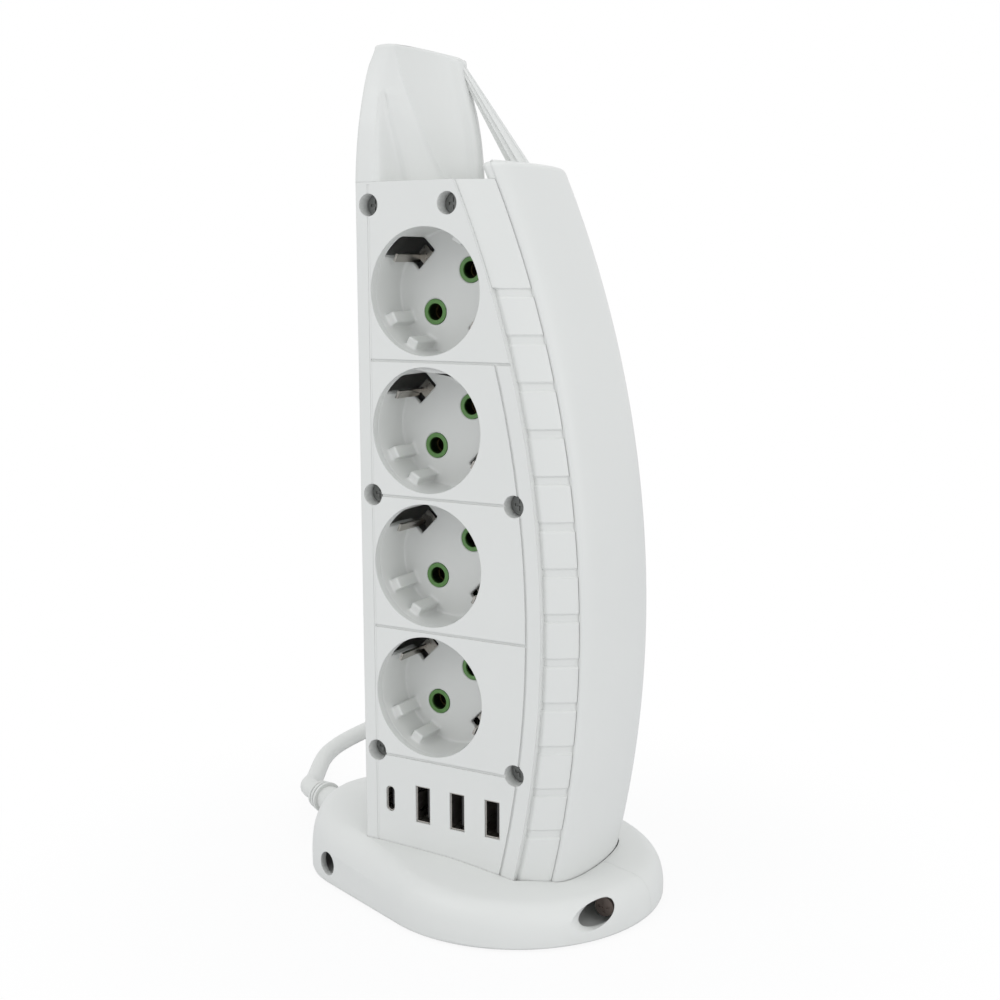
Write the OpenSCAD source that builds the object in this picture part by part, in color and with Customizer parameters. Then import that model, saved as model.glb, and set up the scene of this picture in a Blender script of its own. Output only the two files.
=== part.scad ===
/* [Tower] */
// Depth of the tower from the front face to the back
tower_depth = 60; // [56:0.5:64]
// Height of the tower's flat top above the rim of the top socket
top_margin = 14; // [13:0.5:18]
// Distance from the sockets to the left edge of the front face
left_margin = 5.2; // [5:0.1:7]
// How far the rounded left side stands out past the face
nose_bulge = 5.5; // [3:0.5:8]
// Wall thickness of the tower shells
wall = 2.5; // [2:0.1:3]
// Height of the tower's foot inside the base
foot_z = 6; // [4.5:0.5:8]
// Width of the shallow lines cut into the front face
line_w = 0.8; // [0.5:0.1:1.4]
// Depth of the shallow lines cut into the front face
line_depth = 0.5; // [0.3:0.1:0.9]

/* [Curved side] */
// Height of the centre that the curved edges turn about
bow_z = 97; // [92:1:102]
// How far the front face reaches past the sockets where it is widest
right_margin = 21.1; // [20.5:0.1:22]
// Distance from the top socket to the curved edge at that socket's height
edge_margin = 4.07; // [3.8:0.01:4.6]
// Width of the border between the face's edge and its inner line
border_w = 5; // [3:0.5:6]
// Width of the grooved strip measured along the radius
strip_w = 9.8; // [8:0.2:12]
// How far the strip's inner edge lies behind the face
strip_drop = 1; // [0.4:0.2:1.6]
// How far the strip's outer edge lies behind the face
strip_back = 7; // [5:0.5:9]
// Thickness of the strip
strip_t = 2; // [1.4:0.2:2.6]
// How far the sail stands out past the strip
sail_rise = 7; // [5:0.5:9]
// Thickness of the sail
sail_t = 2.6; // [2:0.2:3.2]
// Height of the sail's top above the tower's top
sail_lip = 5.3; // [3:0.5:7]
// Width of the sail's closed top
sail_cap_w = 10; // [8:0.5:12]

/* [Grooves of the strip] */
// Number of grooves across the strip
rib_count = 13; // [6:1:13]
// Distance from one groove to the next
rib_pitch = 14.2; // [13:0.1:14.4]
// Distance from the tower's top down to the highest groove
rib_drop = 34.2; // [30:0.2:36]
// Width of a groove
rib_w = 2.6; // [1.6:0.1:3.4]
// Depth of a groove
rib_depth = 0.7; // [0.4:0.1:1]

/* [Sockets] */
// Distance between the rims of two sockets
socket_gap = 3.5; // [3.4:0.1:3.8]
// Height of the charging field's upper edge above the floor
charge_top = 50.75; // [50.5:0.05:52]
// Sideways place of the row of sockets
socket_x = -1.7; // [-2.5:0.1:-1]
// Opening of a socket
socket_d = 40; // [38:0.5:40]
// Depth of a socket
socket_depth = 17; // [15.5:0.5:17.5]
// Wall thickness of a socket insert
cup_t = 1.5; // [1:0.1:1.5]
// Thickness of a socket insert's floor
cup_floor = 2; // [1.6:0.1:2.2]
// Distance between the two pin holes
pin_spacing = 19; // [18:0.5:19.5]
// Diameter of a pin hole
pin_hole_d = 5.5; // [5.2:0.1:6]
// Diameter of the coloured ring round a pin hole
ring_d = 8.2; // [7.6:0.1:8.6]
// Width of a guide block inside a socket
key_w = 4; // [3:0.2:5]
// How far a guide block stands in from the socket's wall
key_in = 3; // [2:0.2:3.2]
// Height of a guide block above the socket's floor
key_h = 11; // [7:0.5:13]
// Width of the slot for an earth clip
earth_slot_w = 8.8; // [8.4:0.2:9.6]
// Width of a bar of an earth clip
earth_w = 2.6; // [2:0.1:3]
// Thickness of the metal in clips and bars
metal_t = 0.8; // [0.6:0.1:1]

/* [Charging sockets] */
// Number of wide charging sockets
usb_count = 3; // [2:1:3]
// Distance between the wide charging sockets
usb_pitch = 13.15; // [12:0.05:13.2]
// Sideways place of the first wide charging socket
usb_x = -4.4; // [-5:0.1:-4]
// Height of the charging sockets
usb_z = 35.4; // [34.6:0.2:36]
// Height of a wide charging socket
usb_h = 12.6; // [12.2:0.1:13]
// Width of a wide charging socket
usb_w = 5.6; // [5.3:0.1:6]
// Sideways place of the small charging socket
usb_c_x = -17.2; // [-18:0.1:-16.5]
// Height of the small charging socket
usb_c_h = 8.8; // [8.4:0.1:9]
// Width of the small charging socket
usb_c_w = 3.4; // [3.1:0.1:3.6]
// Depth of the charging sockets
usb_depth = 14; // [12:0.5:15]

/* [Screws] */
// Diameter of the screw wells in the face
well_d = 7; // [6.4:0.1:7.4]
// Depth of the screw wells in the face
well_depth = 6.8; // [6:0.2:8]
// Distance from the tower's top down to the top pair of wells
well_drop = 7.1; // [6.6:0.1:7.5]
// How far the bottom pair of wells lies above the charging field's upper edge
well_lift = 0.75; // [0.25:0.05:1.25]
// Distance from the left edge of the face to the left wells
well_left_in = 4.7; // [4.3:0.1:4.9]
// Distance from the curved edge to the top right well
well_top_in = 5.4; // [5:0.1:5.8]
// Distance from the face's widest place to the lower right wells
well_right_in = 9.4; // [9:0.1:10]
// Diameter of a screw's thread
screw_d = 3; // [2.6:0.1:3.4]
// Diameter of a screw's head
head_d = 6.4; // [5.6:0.1:6.6]
// Length of a face screw's thread
screw_len = 24; // [18:1:28]

/* [Crown] */
// Height of the crown above the tower's top
crown_h = 42.7; // [38:0.1:48]
// Thickness of the fin that the strut leans on
fin_t = 6; // [5:0.5:7]
// Width of the strut seen from the front
strut_w = 7.2; // [6:0.2:8]
// Depth of the strut from front to back
strut_depth = 5.4; // [4:0.2:6]

/* [Base] */
// Radius of the base's round end
base_r = 50.2; // [49:0.2:53]
// Radius of the base's narrow end
base_tail_r = 34; // [32:0.5:37]
// Distance between the centres of the two ends
base_span = 44.6; // [42:0.2:48]
// Height of the base's shoulder at its right end
base_low_h = 14; // [13:0.2:16]
// Height of the base's shoulder at its left end
base_high_h = 26; // [24:0.5:30]
// How far the shoulder lies in from the base's edge
base_inset = 9.5; // [8:0.5:11]
// Wall thickness of the base
base_wall = 2.4; // [2:0.1:3]
// Thickness of the bottom plate
plate_t = 2; // [1.6:0.1:2.4]
// Height of the rubber feet below the base
feet_h = 0.8; // [0.6:0.1:1.2]
// Diameter of a rubber foot
feet_d = 13; // [10:0.5:15]
// Diameter of the screw wells in the base
base_well_d = 8; // [7:0.2:8.6]
// Length of a base screw's thread
base_screw_len = 25; // [18:1:27]

/* [Mains lead] */
// Diameter of the mains lead
cord_d = 7; // [6.4:0.1:7.1]
// Height where the lead leaves the base
gland_z = 14; // [13.5:0.1:14.5]
// Diameter of the strain relief's rings
relief_d = 11.5; // [10:0.5:13]
// Diameter of the strain relief's neck in the base wall
relief_neck_d = 10; // [9.6:0.1:10.4]
// Diameter of a wire inside the lead
wire_d = 2; // [1.6:0.1:2.1]
// Spacing of the coil's turns
coil_step = 7.6; // [7.6:0.05:8.2]
// Turns in the lower layer of the coil
coil_turns = 3; // [2:1:3]
// Radius of the coil's outermost turn
coil_r = 48; // [46:0.5:50]

/* [Plug] */
// Diameter of the plug's face
plug_d = 37; // [35:0.5:38]
// Length of the plug's body
plug_len = 34; // [30:1:38]
// Diameter of a plug pin
pin_d = 4.8; // [4:0.1:4.8]
// Length of a plug pin
pin_len = 19; // [18:0.5:20]

/* [Hidden] */
$fn = 48;
fine_fn = 180;

// Overrun of cuts, and the play between pieces that lie in each other
over = 0.5;
play = 0.1;
fine_play = 0.05;
cabinet = "gainsboro";
metal = "darkgray";
leaf = "yellowgreen";
socket_last = 3;

// Heights and sides of the face, worked out from the row of sockets
socket_pitch = socket_d + socket_gap;
socket_top = charge_top + (socket_last + 1 / 2) * socket_pitch;
tower_top = socket_top + socket_d / 2 + top_margin;
face_left = socket_x - socket_d / 2 - left_margin;
face_right = socket_x + socket_d / 2 + right_margin;
rib_top = tower_top - rib_drop;

// Depths from the front face to the back wall
half_d = tower_depth / 2;
back_y = half_d - wall;
cup_floor_y = socket_depth - half_d;
cup_back_y = cup_floor_y + cup_floor;
strap_y = cup_back_y + fine_play;
carrier_y = strap_y + metal_t + fine_play;
carrier_len = 16;
bar_y = carrier_y + carrier_len + fine_play;
earth_bar_y = bar_y + 5 * metal_t;
board_t = 1.6;
board_y = usb_depth - half_d;
surge_y = back_y - 4 * board_t;

// Radii and half width of the curved side, whose arc passes the top socket at its margin
bow_rise = socket_top - bow_z;
bow_in = right_margin - edge_margin;
face_r = (bow_rise * bow_rise + bow_in * bow_in) / (2 * bow_in);
bow_x = face_right - face_r;
strip_r = face_r + strip_w;
sail_half = half_d - strip_back;
seat_t = sail_t + play;
bow_half_turn = 40;
bow_inner_r = face_r - face_right + face_left - 3 * nose_bulge;
sail_steps = 16;
span = 2 * face_r;

function bow_edge(r, z) = bow_x + sqrt(r * r - (z - bow_z) * (z - bow_z));
function sail_points(r, h, rise) = [
    for (i = [0:sail_steps]) let (a = 180 * i / sail_steps) [r + rise * sin(a), -h * cos(a)]
];
function backwards(list) = [for (i = [len(list) - 1:-1:0]) list[i]];

// A shape given by radius and depth, turned about the centre of the curved side
module bow_turned(points) {
    translate([bow_x, 0, bow_z])
        rotate([-90, 0, 0])
            rotate([0, 0, -bow_half_turn])
                rotate_extrude(angle = 2 * bow_half_turn, $fn = fine_fn) polygon(points);
}

// Everything between two heights, and everything in front of the middle
module between(low, high) {
    translate([-span / 2, -span / 2, low]) cube([span, span, high - low]);
}
module front_half() {
    translate([-span / 2, -span, -span / 2]) cube([span, span, 2 * span]);
}
module along_y(x, z, from, to, d) {
    translate([x, from, z]) rotate([-90, 0, 0]) cylinder(d = d, h = to - from);
}

// Radius and centre of the arc that bounds the left side
nose_r = (half_d * half_d + nose_bulge * nose_bulge) / (2 * nose_bulge);
nose_x = face_left - nose_bulge + nose_r;
module nose_outline(t) {
    intersection() {
        translate([nose_x, 0]) circle(r = nose_r - t, $fn = fine_fn);
        translate([face_left - 2 * nose_bulge, t - half_d])
            square([2 * base_r - face_left, tower_depth - 2 * t]);
    }
}

// Outline of the body by radius and depth, drawn in by a margin
function body_profile(t) = concat(
    [
        [bow_inner_r, t - half_d],
        [face_r - t, t - half_d],
        [face_r - t, t / 2 - half_d + strip_drop + strip_t + play],
    ],
    sail_points(strip_r - seat_t - t, sail_half - seat_t - t / 2, sail_rise),
    [
        [face_r - t, half_d - strip_drop - strip_t - play - t / 2],
        [face_r - t, half_d - t],
        [bow_inner_r, half_d - t],
    ]
);

// The tower without its strips and sail, drawn in by a margin
module body_solid(t, low, high) {
    intersection() {
        bow_turned(body_profile(t));
        translate([0, 0, low]) linear_extrude(high - low) nose_outline(t);
    }
}
module half_shell() {
    intersection() {
        difference() {
            body_solid(0, foot_z, tower_top);
            body_solid(wall, foot_z - over, tower_top - wall);
        }
        front_half();
    }
}

// Places of the six face screws, their wells and their bosses
well_top_z = tower_top - well_drop;
well_mid_z = field_z(1);
well_low_z = charge_top + well_lift;
well_left_x = face_left + well_left_in;
well_top_x = bow_edge(face_r, well_top_z) - well_top_in;
well_right_x = face_right - well_right_in;
face_wells = [
    [well_left_x, well_top_z], [well_top_x, well_top_z],
    [well_left_x, well_mid_z], [well_right_x, well_mid_z],
    [well_left_x, well_low_z], [well_right_x, well_low_z],
];
well_wall = 1.2;
well_floor = 2;
well_end = well_depth - half_d;
boss_start = well_end + well_floor + fine_play;
boss_d = screw_d + 4 * well_wall;

function socket_z(i) = socket_top - i * socket_pitch;
function field_z(i) = socket_z(i) - socket_pitch / 2;

// Lines that split the front face into one field for each socket and one for charging
left_line_share = 0.2;
module face_lines() {
    top = -half_d - over;
    deep = over + line_depth;
    tile_r = face_r - border_w;
    for (i = [0:socket_last]) {
        right = bow_edge(i == 0 ? face_r : tile_r, field_z(i));
        translate([well_left_x, top, field_z(i) - line_w / 2])
            cube([right - well_left_x, deep, line_w]);
    }
    translate([well_left_x - line_w / 2, top, base_low_h])
        cube([line_w, over + line_depth * left_line_share, tower_top - base_low_h - line_w]);
    intersection() {
        bow_turned([
            [tile_r - line_w / 2, top],
            [tile_r + line_w / 2, top],
            [tile_r + line_w / 2, top + deep],
            [tile_r - line_w / 2, top + deep],
        ]);
        between(base_low_h, field_z(0));
    }
}

// The charging board stands on posts behind the face
post_d = 4;
board_left = usb_c_x - usb_c_w;
board_right = usb_x + (usb_count - 1) * usb_pitch + usb_w;
board_high = well_low_z - well_d;
board_low = usb_z - usb_h;

// Pegs that hold the crown on the tower's top, and the gate for the wires at its foot
peg_d = 4;
peg_share = 0.45;
peg_x = face_left * peg_share;
peg_y = half_d / 3;
gate_w = 2 * cord_d;
module peg_hole() {
    translate([peg_x, -peg_y, tower_top - 2 * wall]) cylinder(d = peg_d + 2 * play, h = 3 * wall);
}
module wire_gate() {
    translate([face_left - 2 * nose_bulge, -gate_w / 2, foot_z - over])
        cube([2 * nose_bulge + wall, gate_w, gland_z + cord_d - foot_z]);
}

module front_shell() color(cabinet) {
    difference() {
        union() {
            half_shell();
            for (w = face_wells) {
                along_y(w[0], w[1], wall / 2 - half_d, well_end + well_floor, well_d + 2 * well_wall);
            }
            for (x = [board_left, board_right]) {
                along_y(x, board_low, wall / 2 - half_d, board_y, post_d);
            }
        }
        for (i = [0:socket_last]) {
            along_y(socket_x, socket_z(i), -half_d - over, wall - half_d + over, socket_d);
        }
        for (w = face_wells) {
            along_y(w[0], w[1], -half_d - over, well_end, well_d);
            along_y(w[0], w[1], -half_d, well_end + well_floor + over, screw_d + 2 * play);
        }
        for (i = [0:usb_count - 1]) {
            translate([usb_x + i * usb_pitch - usb_w / 2, -half_d - over, usb_z - usb_h / 2])
                cube([usb_w, wall + 2 * over, usb_h]);
        }
        usb_c_bar(0, -half_d - over, wall - half_d + over);
        face_lines();
        peg_hole();
        wire_gate();
    }
}

// Board with the overload parts, on posts of the rear shell beside those of the earth bar
bar_w = 5;
surge_share = 0.8;
surge_w = socket_d * surge_share;
surge_low = field_z(2) - bar_w;
surge_high = field_z(1) + 2 * bar_w;
module rear_shell() color(cabinet) {
    difference() {
        union() {
            mirror([0, 1, 0]) half_shell();
            for (w = face_wells) {
                along_y(w[0], w[1], boss_start, back_y + wall / 2, boss_d);
            }
            for (s = [-1, 1], z = [surge_low + post_d, surge_high - post_d]) {
                x = socket_x + s * (surge_w / 2 - post_d);
                along_y(x, z, surge_y + board_t, back_y + wall / 2, post_d);
            }
            for (i = [0, socket_last]) {
                z = socket_z(i) + 2 * bar_w;
                along_y(earth_bar_x, z, earth_bar_y + metal_t, back_y + wall / 2, post_d);
            }
        }
        for (w = face_wells) {
            along_y(w[0], w[1], well_end, well_end + screw_len + 2 * over, screw_d + fine_play);
        }
        mirror([0, 1, 0]) peg_hole();
        wire_gate();
    }
}

// Strip with cross grooves between the face and the sail
module rib_strip() {
    difference() {
        intersection() {
            bow_turned([
                [face_r + play, strip_drop - half_d],
                [strip_r - fine_play, -sail_half - fine_play],
                [strip_r - sail_t - fine_play, sail_t - sail_half - fine_play],
                [face_r + play, strip_drop + strip_t - half_d],
            ]);
            between(foot_z, tower_top);
        }
        for (i = [0:rib_count - 1]) {
            mid = rib_top - i * rib_pitch;
            intersection() {
                bow_turned([
                    [face_r - over, strip_drop - half_d - 2 * over],
                    [strip_r + over, -sail_half - 2 * over],
                    [strip_r + over, rib_depth - sail_half],
                    [face_r - over, strip_drop + rib_depth - half_d],
                ]);
                between(mid - rib_w / 2, mid + rib_w / 2);
            }
        }
    }
}
module rib_strip_front() color(cabinet) rib_strip();
module rib_strip_rear() color(cabinet) mirror([0, 1, 0]) rib_strip();

// Smooth curved cover of the right side with a closed top
sail_outer = sail_points(strip_r, sail_half, sail_rise);
sail_inner = sail_points(strip_r - sail_t, sail_half - sail_t, sail_rise);
cap_r = strip_r + sail_rise - sail_cap_w;
module sail_cover() color(cabinet) {
    intersection() {
        bow_turned(concat(sail_outer, backwards(sail_inner)));
        between(foot_z, tower_top + sail_lip / 2);
    }
    intersection() {
        bow_turned(concat([[cap_r, -sail_half]], sail_outer, [[cap_r, sail_half]]));
        between(tower_top, tower_top + sail_lip);
    }
}

// Side walls between rings of n points each, and fans that close the first and the last ring
function tube_faces(rings, n) = [
    for (i = [0:rings - 2], j = [0:n - 1]) let (k = (j + 1) % n, a = i * n, b = (i + 1) * n)
        each [[a + j, b + j, b + k], [a + j, b + k, a + k]]
];
function fan(first, n, hub) = [for (j = [0:n - 1]) [first + j, first + (j + 1) % n, hub]];
function fan_back(first, n, hub) = [for (j = [0:n - 1]) [first + (j + 1) % n, first + j, hub]];
module closed_tube(rings, start_hub, end_hub) {
    n = len(rings[0]);
    count = len(rings);
    polyhedron(
        concat([for (ring = rings) each ring], [start_hub, end_hub]),
        concat(
            tube_faces(count, n),
            fan(0, n, count * n),
            fan_back((count - 1) * n, n, count * n + 1)
        ),
        convexity = 8
    );
}

// Heights of the crown's sections as shares of its height, and what lies at each height
crown_top = tower_top + crown_h;
crown_shares = [0, 0.2, 0.42, 0.6, 0.75, 0.88, 0.97];
crown_left_shares = [0, 0.004, 0.035, 0.06, 0.08, 0.108, 0.138];
crown_front_shares = [0, 0.017, 0.05, 0.11, 0.167, 0.207, 0.233];
crown_valley_shares = [0.367, 0.317, 0.25, 0.115, 0.17, 0.21, 0.236];
crown_ridge_x_shares = [0.19, 0.286, 0.375, 0.468, 0.54, 0.59, 0.628];
crown_ridge_y_shares = [0.633, 0.533, 0.433, 0.367, 0.32, 0.29, 0.267];
crown_fin_shares = [-0.104, -0.089, -0.056, -0.004, 0.063, 0.123, 0.167];
crown_bulge_shares = [1, 0.97, 0.9, 0.8, 0.66, 0.5, 0.4];
crown_fall = 0.0185;
crown_peak_x = face_left * 0.725;
nose_share = 0.68;
nose_edge = face_left * nose_share;
corner_r = 0.8;
function crown_z(x) = crown_top - crown_fall * pow(x - crown_peak_x, 2);

// Half of a crown section: left side, front of the nose, notch, ridge, hollow and fin
side_depth_shares = [0.3, 0.6, 0.82];
side_bulge_shares = [0.9, 0.62, 0.3];
notch_share = 0.97;
mid_share = 0.4;
hollow_x_shares = [0.28, 0.6];
hollow_y_shares = [0.62, 0.34];
fin_tip_share = 0.3;
function mix(a, b, t) = a + (b - a) * t;
function crown_ring(i) = let (
    left = face_left * (1 - crown_left_shares[i]),
    front = -half_d * (1 - crown_front_shares[i]),
    valley = -half_d * (1 - crown_valley_shares[i]),
    ridge_x = face_left * crown_ridge_x_shares[i],
    ridge_y = -half_d * (1 - crown_ridge_y_shares[i]),
    fin_x = face_left * crown_fin_shares[i],
    bulge = nose_bulge * crown_bulge_shares[i],
    ring = concat(
        [[left - bulge, 0]],
        [for (k = [0:2]) [left - bulge * side_bulge_shares[k], front * side_depth_shares[k]]],
        [
            [left, front + corner_r],
            [left + corner_r / 2, front],
            [nose_edge, front],
            [nose_edge * notch_share, valley],
            [mix(nose_edge, ridge_x, mid_share), mix(valley, ridge_y, mid_share)],
            [ridge_x, ridge_y],
        ],
        [for (k = [0, 1]) [mix(ridge_x, fin_x, hollow_x_shares[k]), ridge_y * hollow_y_shares[k]]],
        [
            [fin_x - fin_t * fin_tip_share, -fin_t / 2],
            [fin_x, -fin_t * fin_tip_share],
            [fin_x, 0],
        ]
    )
) [for (p = ring) [p[0], p[1], mix(tower_top, crown_z(p[0]), crown_shares[i])]];

// The top section falls away in a curve on both sides of the nose's edge
crown_last = len(crown_shares) - 1;
cap_x_share = 0.03;
cap_y_share = 0.95;
crown_cap = [
    for (p = crown_ring(crown_last)) [
        mix(p[0], nose_edge, cap_x_share),
        p[1] * cap_y_share,
        crown_z(p[0])
    ]
];
hub_share = 1.15;
module crown_block() {
    hub_x = nose_edge * hub_share;
    hub_y = -half_d / 5;
    closed_tube(
        concat([for (i = [0:crown_last]) crown_ring(i)], [crown_cap]),
        [hub_x, hub_y, tower_top],
        [hub_x, hub_y, crown_top - over]
    );
}
module crown_half() {
    difference() {
        crown_block();
        translate([face_left, -half_d / 2, tower_top - over])
            cube([nose_edge - face_left, half_d, over + crown_h / 2]);
    }
    translate([peg_x, -peg_y, tower_top - 2 * wall])
        cylinder(d = peg_d, h = 2 * wall + crown_h / 4);
}
module crown_front() color(cabinet) crown_half();
module crown_rear() color(cabinet) mirror([0, 1, 0]) crown_half();

// Slim ridged strut from the fin's top corner down to the sail's top
strut_x_share = 0.13;
strut_fall_share = 0.13;
strut_ridge_shares = [0.3, 0.62];
strut_side_share = 0.28;
strut_tip_share = 0.3;
strut_top_x = face_left * strut_x_share;
strut_top_z = crown_top - crown_h * strut_fall_share;
strut_foot_x = bow_edge(strip_r, tower_top) - 2 * over;
strut_foot_z = tower_top + sail_lip;
function strut_ring(share) = let (
    right = mix(strut_foot_x, strut_top_x, share),
    wide = strut_w * mix(1, strut_tip_share, share),
    deep = strut_depth * mix(1, strut_tip_share, share) / 2,
    side = 2 * deep * strut_side_share,
    half = [
        [right, -side],
        [right - wide * (1 - strut_ridge_shares[1]), -deep],
        [right - wide * (1 - strut_ridge_shares[0]), -deep],
        [right - wide, -side],
    ],
    z = mix(strut_foot_z, strut_top_z, share)
) concat(
    [for (k = [3:-1:0]) [half[k][0], half[k][1], z]],
    [for (k = [0:3]) [half[k][0], -half[k][1], z]]
);
module crown_strut() color(cabinet) {
    middle = strut_w / 2;
    difference() {
        closed_tube(
            [strut_ring(-over), strut_ring(1)],
            [strut_foot_x - middle, 0, strut_foot_z - over],
            [strut_top_x - middle * strut_tip_share, 0, strut_top_z + over]
        );
        between(0, tower_top + sail_lip);
        crown_block();
        mirror([0, 1, 0]) crown_block();
    }
}

// Base: its outline, and the rings that climb its side to the shoulder and on to the tower
base_half_l = (base_span + base_tail_r + base_r) / 2;
base_x = base_half_l - base_r;
base_tail_x = base_tail_r - base_half_l;
base_sides = 48;
base_rise = 2.4;
base_tilt_power = 1.6;
side_in_shares = [0, 0, 0.08, 0.26, 0.56, 1];
side_up_shares = [0, 0.3, 0.58, 0.79, 0.93, 1];
flat_in_shares = [1.5, 2.2];
flat_up_shares = [0.4, 1];
function base_spot(a, inset) = base_span * cos(a) + base_r - base_tail_r > 0
    ? [base_x + (base_r - inset) * cos(a), (base_r - inset) * sin(a)]
    : [base_tail_x + (base_tail_r - inset) * cos(a), (base_tail_r - inset) * sin(a)];
function shoulder_z(x) = mix(
    base_low_h, base_high_h, pow((base_half_l - x) / (2 * base_half_l), base_tilt_power)
);
function base_ring(inset, share, lift, t) = [
    for (j = [0:base_sides - 1]) let (
        a = 360 * (j + 0.5) / base_sides,
        p = base_spot(a, inset + t),
        edge = base_spot(a, base_inset)
    ) [p[0], p[1], feet_h + (shoulder_z(edge[0]) - feet_h - t) * share + lift]
];
module base_solid(t) {
    dip = t > 0 ? over : 0;
    closed_tube(
        concat(
            [base_ring(0, 0, -dip, t)],
            [for (i = [1:len(side_in_shares) - 1])
                base_ring(base_inset * side_in_shares[i], side_up_shares[i], 0, t)],
            [for (i = [0, 1]) base_ring(base_inset * flat_in_shares[i], 1, base_rise * flat_up_shares[i], t)]
        ),
        [0, 0, feet_h - dip],
        [0, 0, shoulder_z(0) + base_rise - t]
    );
}

// Screw wells of the base: places, floors, and the bosses behind them
base_well_gap = 10.6;
base_well_share = 0.83;
base_well_x = [face_left - nose_bulge - base_well_gap, base_x + base_r * base_well_share];
base_well_up_shares = [0.6, 0.72];
base_well_z = [for (share = base_well_up_shares) feet_h + plate_t + base_well_d * share];
base_well_y_shares = [0.62, 0.3];
base_well_y = [-base_tail_r * base_well_y_shares[0], -base_r * base_well_y_shares[1]];
base_boss_d = screw_d + 2 * well_wall;
module tower_room() {
    intersection() {
        bow_turned(concat(
            [
                [bow_inner_r, -half_d - play],
                [face_r + play, -half_d - play],
                [face_r + 2 * play, strip_drop - half_d - play],
            ],
            sail_points(strip_r + play, sail_half + play, sail_rise),
            [
                [face_r + 2 * play, half_d - strip_drop + play],
                [face_r + play, half_d + play],
                [bow_inner_r, half_d + play],
            ]
        ));
        translate([0, 0, foot_z - play]) linear_extrude(2 * base_high_h) nose_outline(-play);
    }
}
module plate_outline(inset) {
    hull() {
        translate([base_x, 0]) circle(r = base_r - inset);
        translate([base_tail_x, 0]) circle(r = base_tail_r - inset);
    }
}
module base_half(front) {
    difference() {
        union() {
            intersection() {
                difference() {
                    base_solid(0);
                    base_solid(base_wall);
                }
                mirror([0, front ? 0 : 1, 0]) front_half();
            }
            intersection() {
                base_solid(base_wall / 2);
                for (i = [0, 1]) {
                    if (front) {
                        along_y(base_well_x[i], base_well_z[i], -base_r, base_well_y[i] + well_floor,
                            base_well_d + 2 * well_wall);
                    } else {
                        start = base_well_y[i] + well_floor + fine_play;
                        along_y(base_well_x[i], base_well_z[i], start, base_r, base_boss_d);
                    }
                }
            }
        }
        tower_room();
        translate([0, 0, -over]) linear_extrude(feet_h + plate_t + over + fine_play)
            plate_outline(base_wall + fine_play);
        for (i = [0, 1]) {
            if (front) {
                along_y(base_well_x[i], base_well_z[i], -base_r - over, base_well_y[i], base_well_d);
            }
            y = base_well_y[i];
            hole_d = screw_d + (front ? 2 * play : fine_play);
            along_y(base_well_x[i], base_well_z[i], y - over, y + base_screw_len + over, hole_d);
        }
        at_relief() cylinder(d = relief_neck_d + 2 * fine_play, h = relief_long);
    }
}
module base_front() color(cabinet) base_half(true);
module base_rear() color(cabinet) base_half(false);

// Bottom plate inside the base's walls, on rubber feet
module base_plate() color(cabinet) {
    translate([0, 0, feet_h]) linear_extrude(plate_t) plate_outline(base_wall + play);
}
feet_shares = [0.42, 0.6, 0.3, 0.55];
feet_spots = [
    for (s = [-1, 1]) each [
        [base_x + base_r * feet_shares[0], s * base_r * feet_shares[1]],
        [base_tail_x - base_tail_r * feet_shares[2], s * base_tail_r * feet_shares[3]],
    ]
];
module rubber_feet() color("dimgray") {
    for (f = feet_spots) {
        translate([f[0], f[1], 0]) cylinder(d = feet_d, h = feet_h);
    }
}

// A socket insert: round cup with guide blocks, ring holes and two slots for the earth clip
pin_at = pin_spacing / 2;
key_turn = 17;
pin_turn = 135;
slot_shares = [0.31, 0.35];
slot_front = 1.2;
cup_fn = 96;
rim_y = wall - half_d + fine_play;
module at_socket(i) {
    translate([socket_x, 0, socket_z(i)]) rotate([-90, 0, 0]) children();
}
module socket_insert(i) color(cabinet) {
    at_socket(i) difference() {
        translate([0, 0, rim_y]) cylinder(d = socket_d + 2 * cup_t, h = cup_back_y - rim_y, $fn = cup_fn);
        difference() {
            translate([0, 0, rim_y - over])
                cylinder(d = socket_d, h = cup_floor_y - rim_y + over, $fn = cup_fn);
            for (a = [-key_turn, key_turn], s = [0, 180]) {
                rotate([0, 0, pin_turn + a + s])
                    translate([socket_d / 2 - key_in, -key_w / 2, cup_floor_y - key_h])
                        cube([key_in + cup_t / 2, key_w, key_h]);
            }
        }
        for (s = [0, 180]) {
            rotate([0, 0, pin_turn + s]) translate([pin_at, 0, cup_floor_y - over])
                cylinder(d = ring_d + 2 * fine_play, h = cup_floor + 2 * over);
            rotate([0, 0, pin_turn - 90 + s])
                translate([socket_d * slot_shares[s / 180], -earth_slot_w / 2, rim_y + slot_front])
                    cube([socket_d, earth_slot_w, cup_back_y - rim_y]);
        }
    }
}

// Coloured block behind a socket insert, whose two rings show round the pin holes
sleeve_d = pin_hole_d + 2 * metal_t;
sleeve_in = 2;
sleeve_y = carrier_y + sleeve_in;
carrier_rim = 1;
module contact_carrier(i) color(leaf) {
    long = pin_spacing + ring_d + 2 * carrier_rim;
    wide = ring_d + 4 * carrier_rim;
    at_socket(i) rotate([0, 0, pin_turn]) difference() {
        union() {
            translate([-long / 2, -wide / 2, carrier_y]) cube([long, wide, carrier_len]);
            for (s = [-1, 1]) {
                translate([s * pin_at, 0, cup_floor_y])
                    cylinder(d = ring_d, h = carrier_y + metal_t - cup_floor_y);
            }
        }
        for (s = [-1, 1]) {
            translate([s * pin_at, 0, cup_floor_y - over]) cylinder(d = pin_hole_d, h = 2 * carrier_len);
            translate([s * pin_at, 0, sleeve_y]) cylinder(d = sleeve_d + 2 * fine_play, h = 2 * carrier_len);
        }
    }
}

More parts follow.
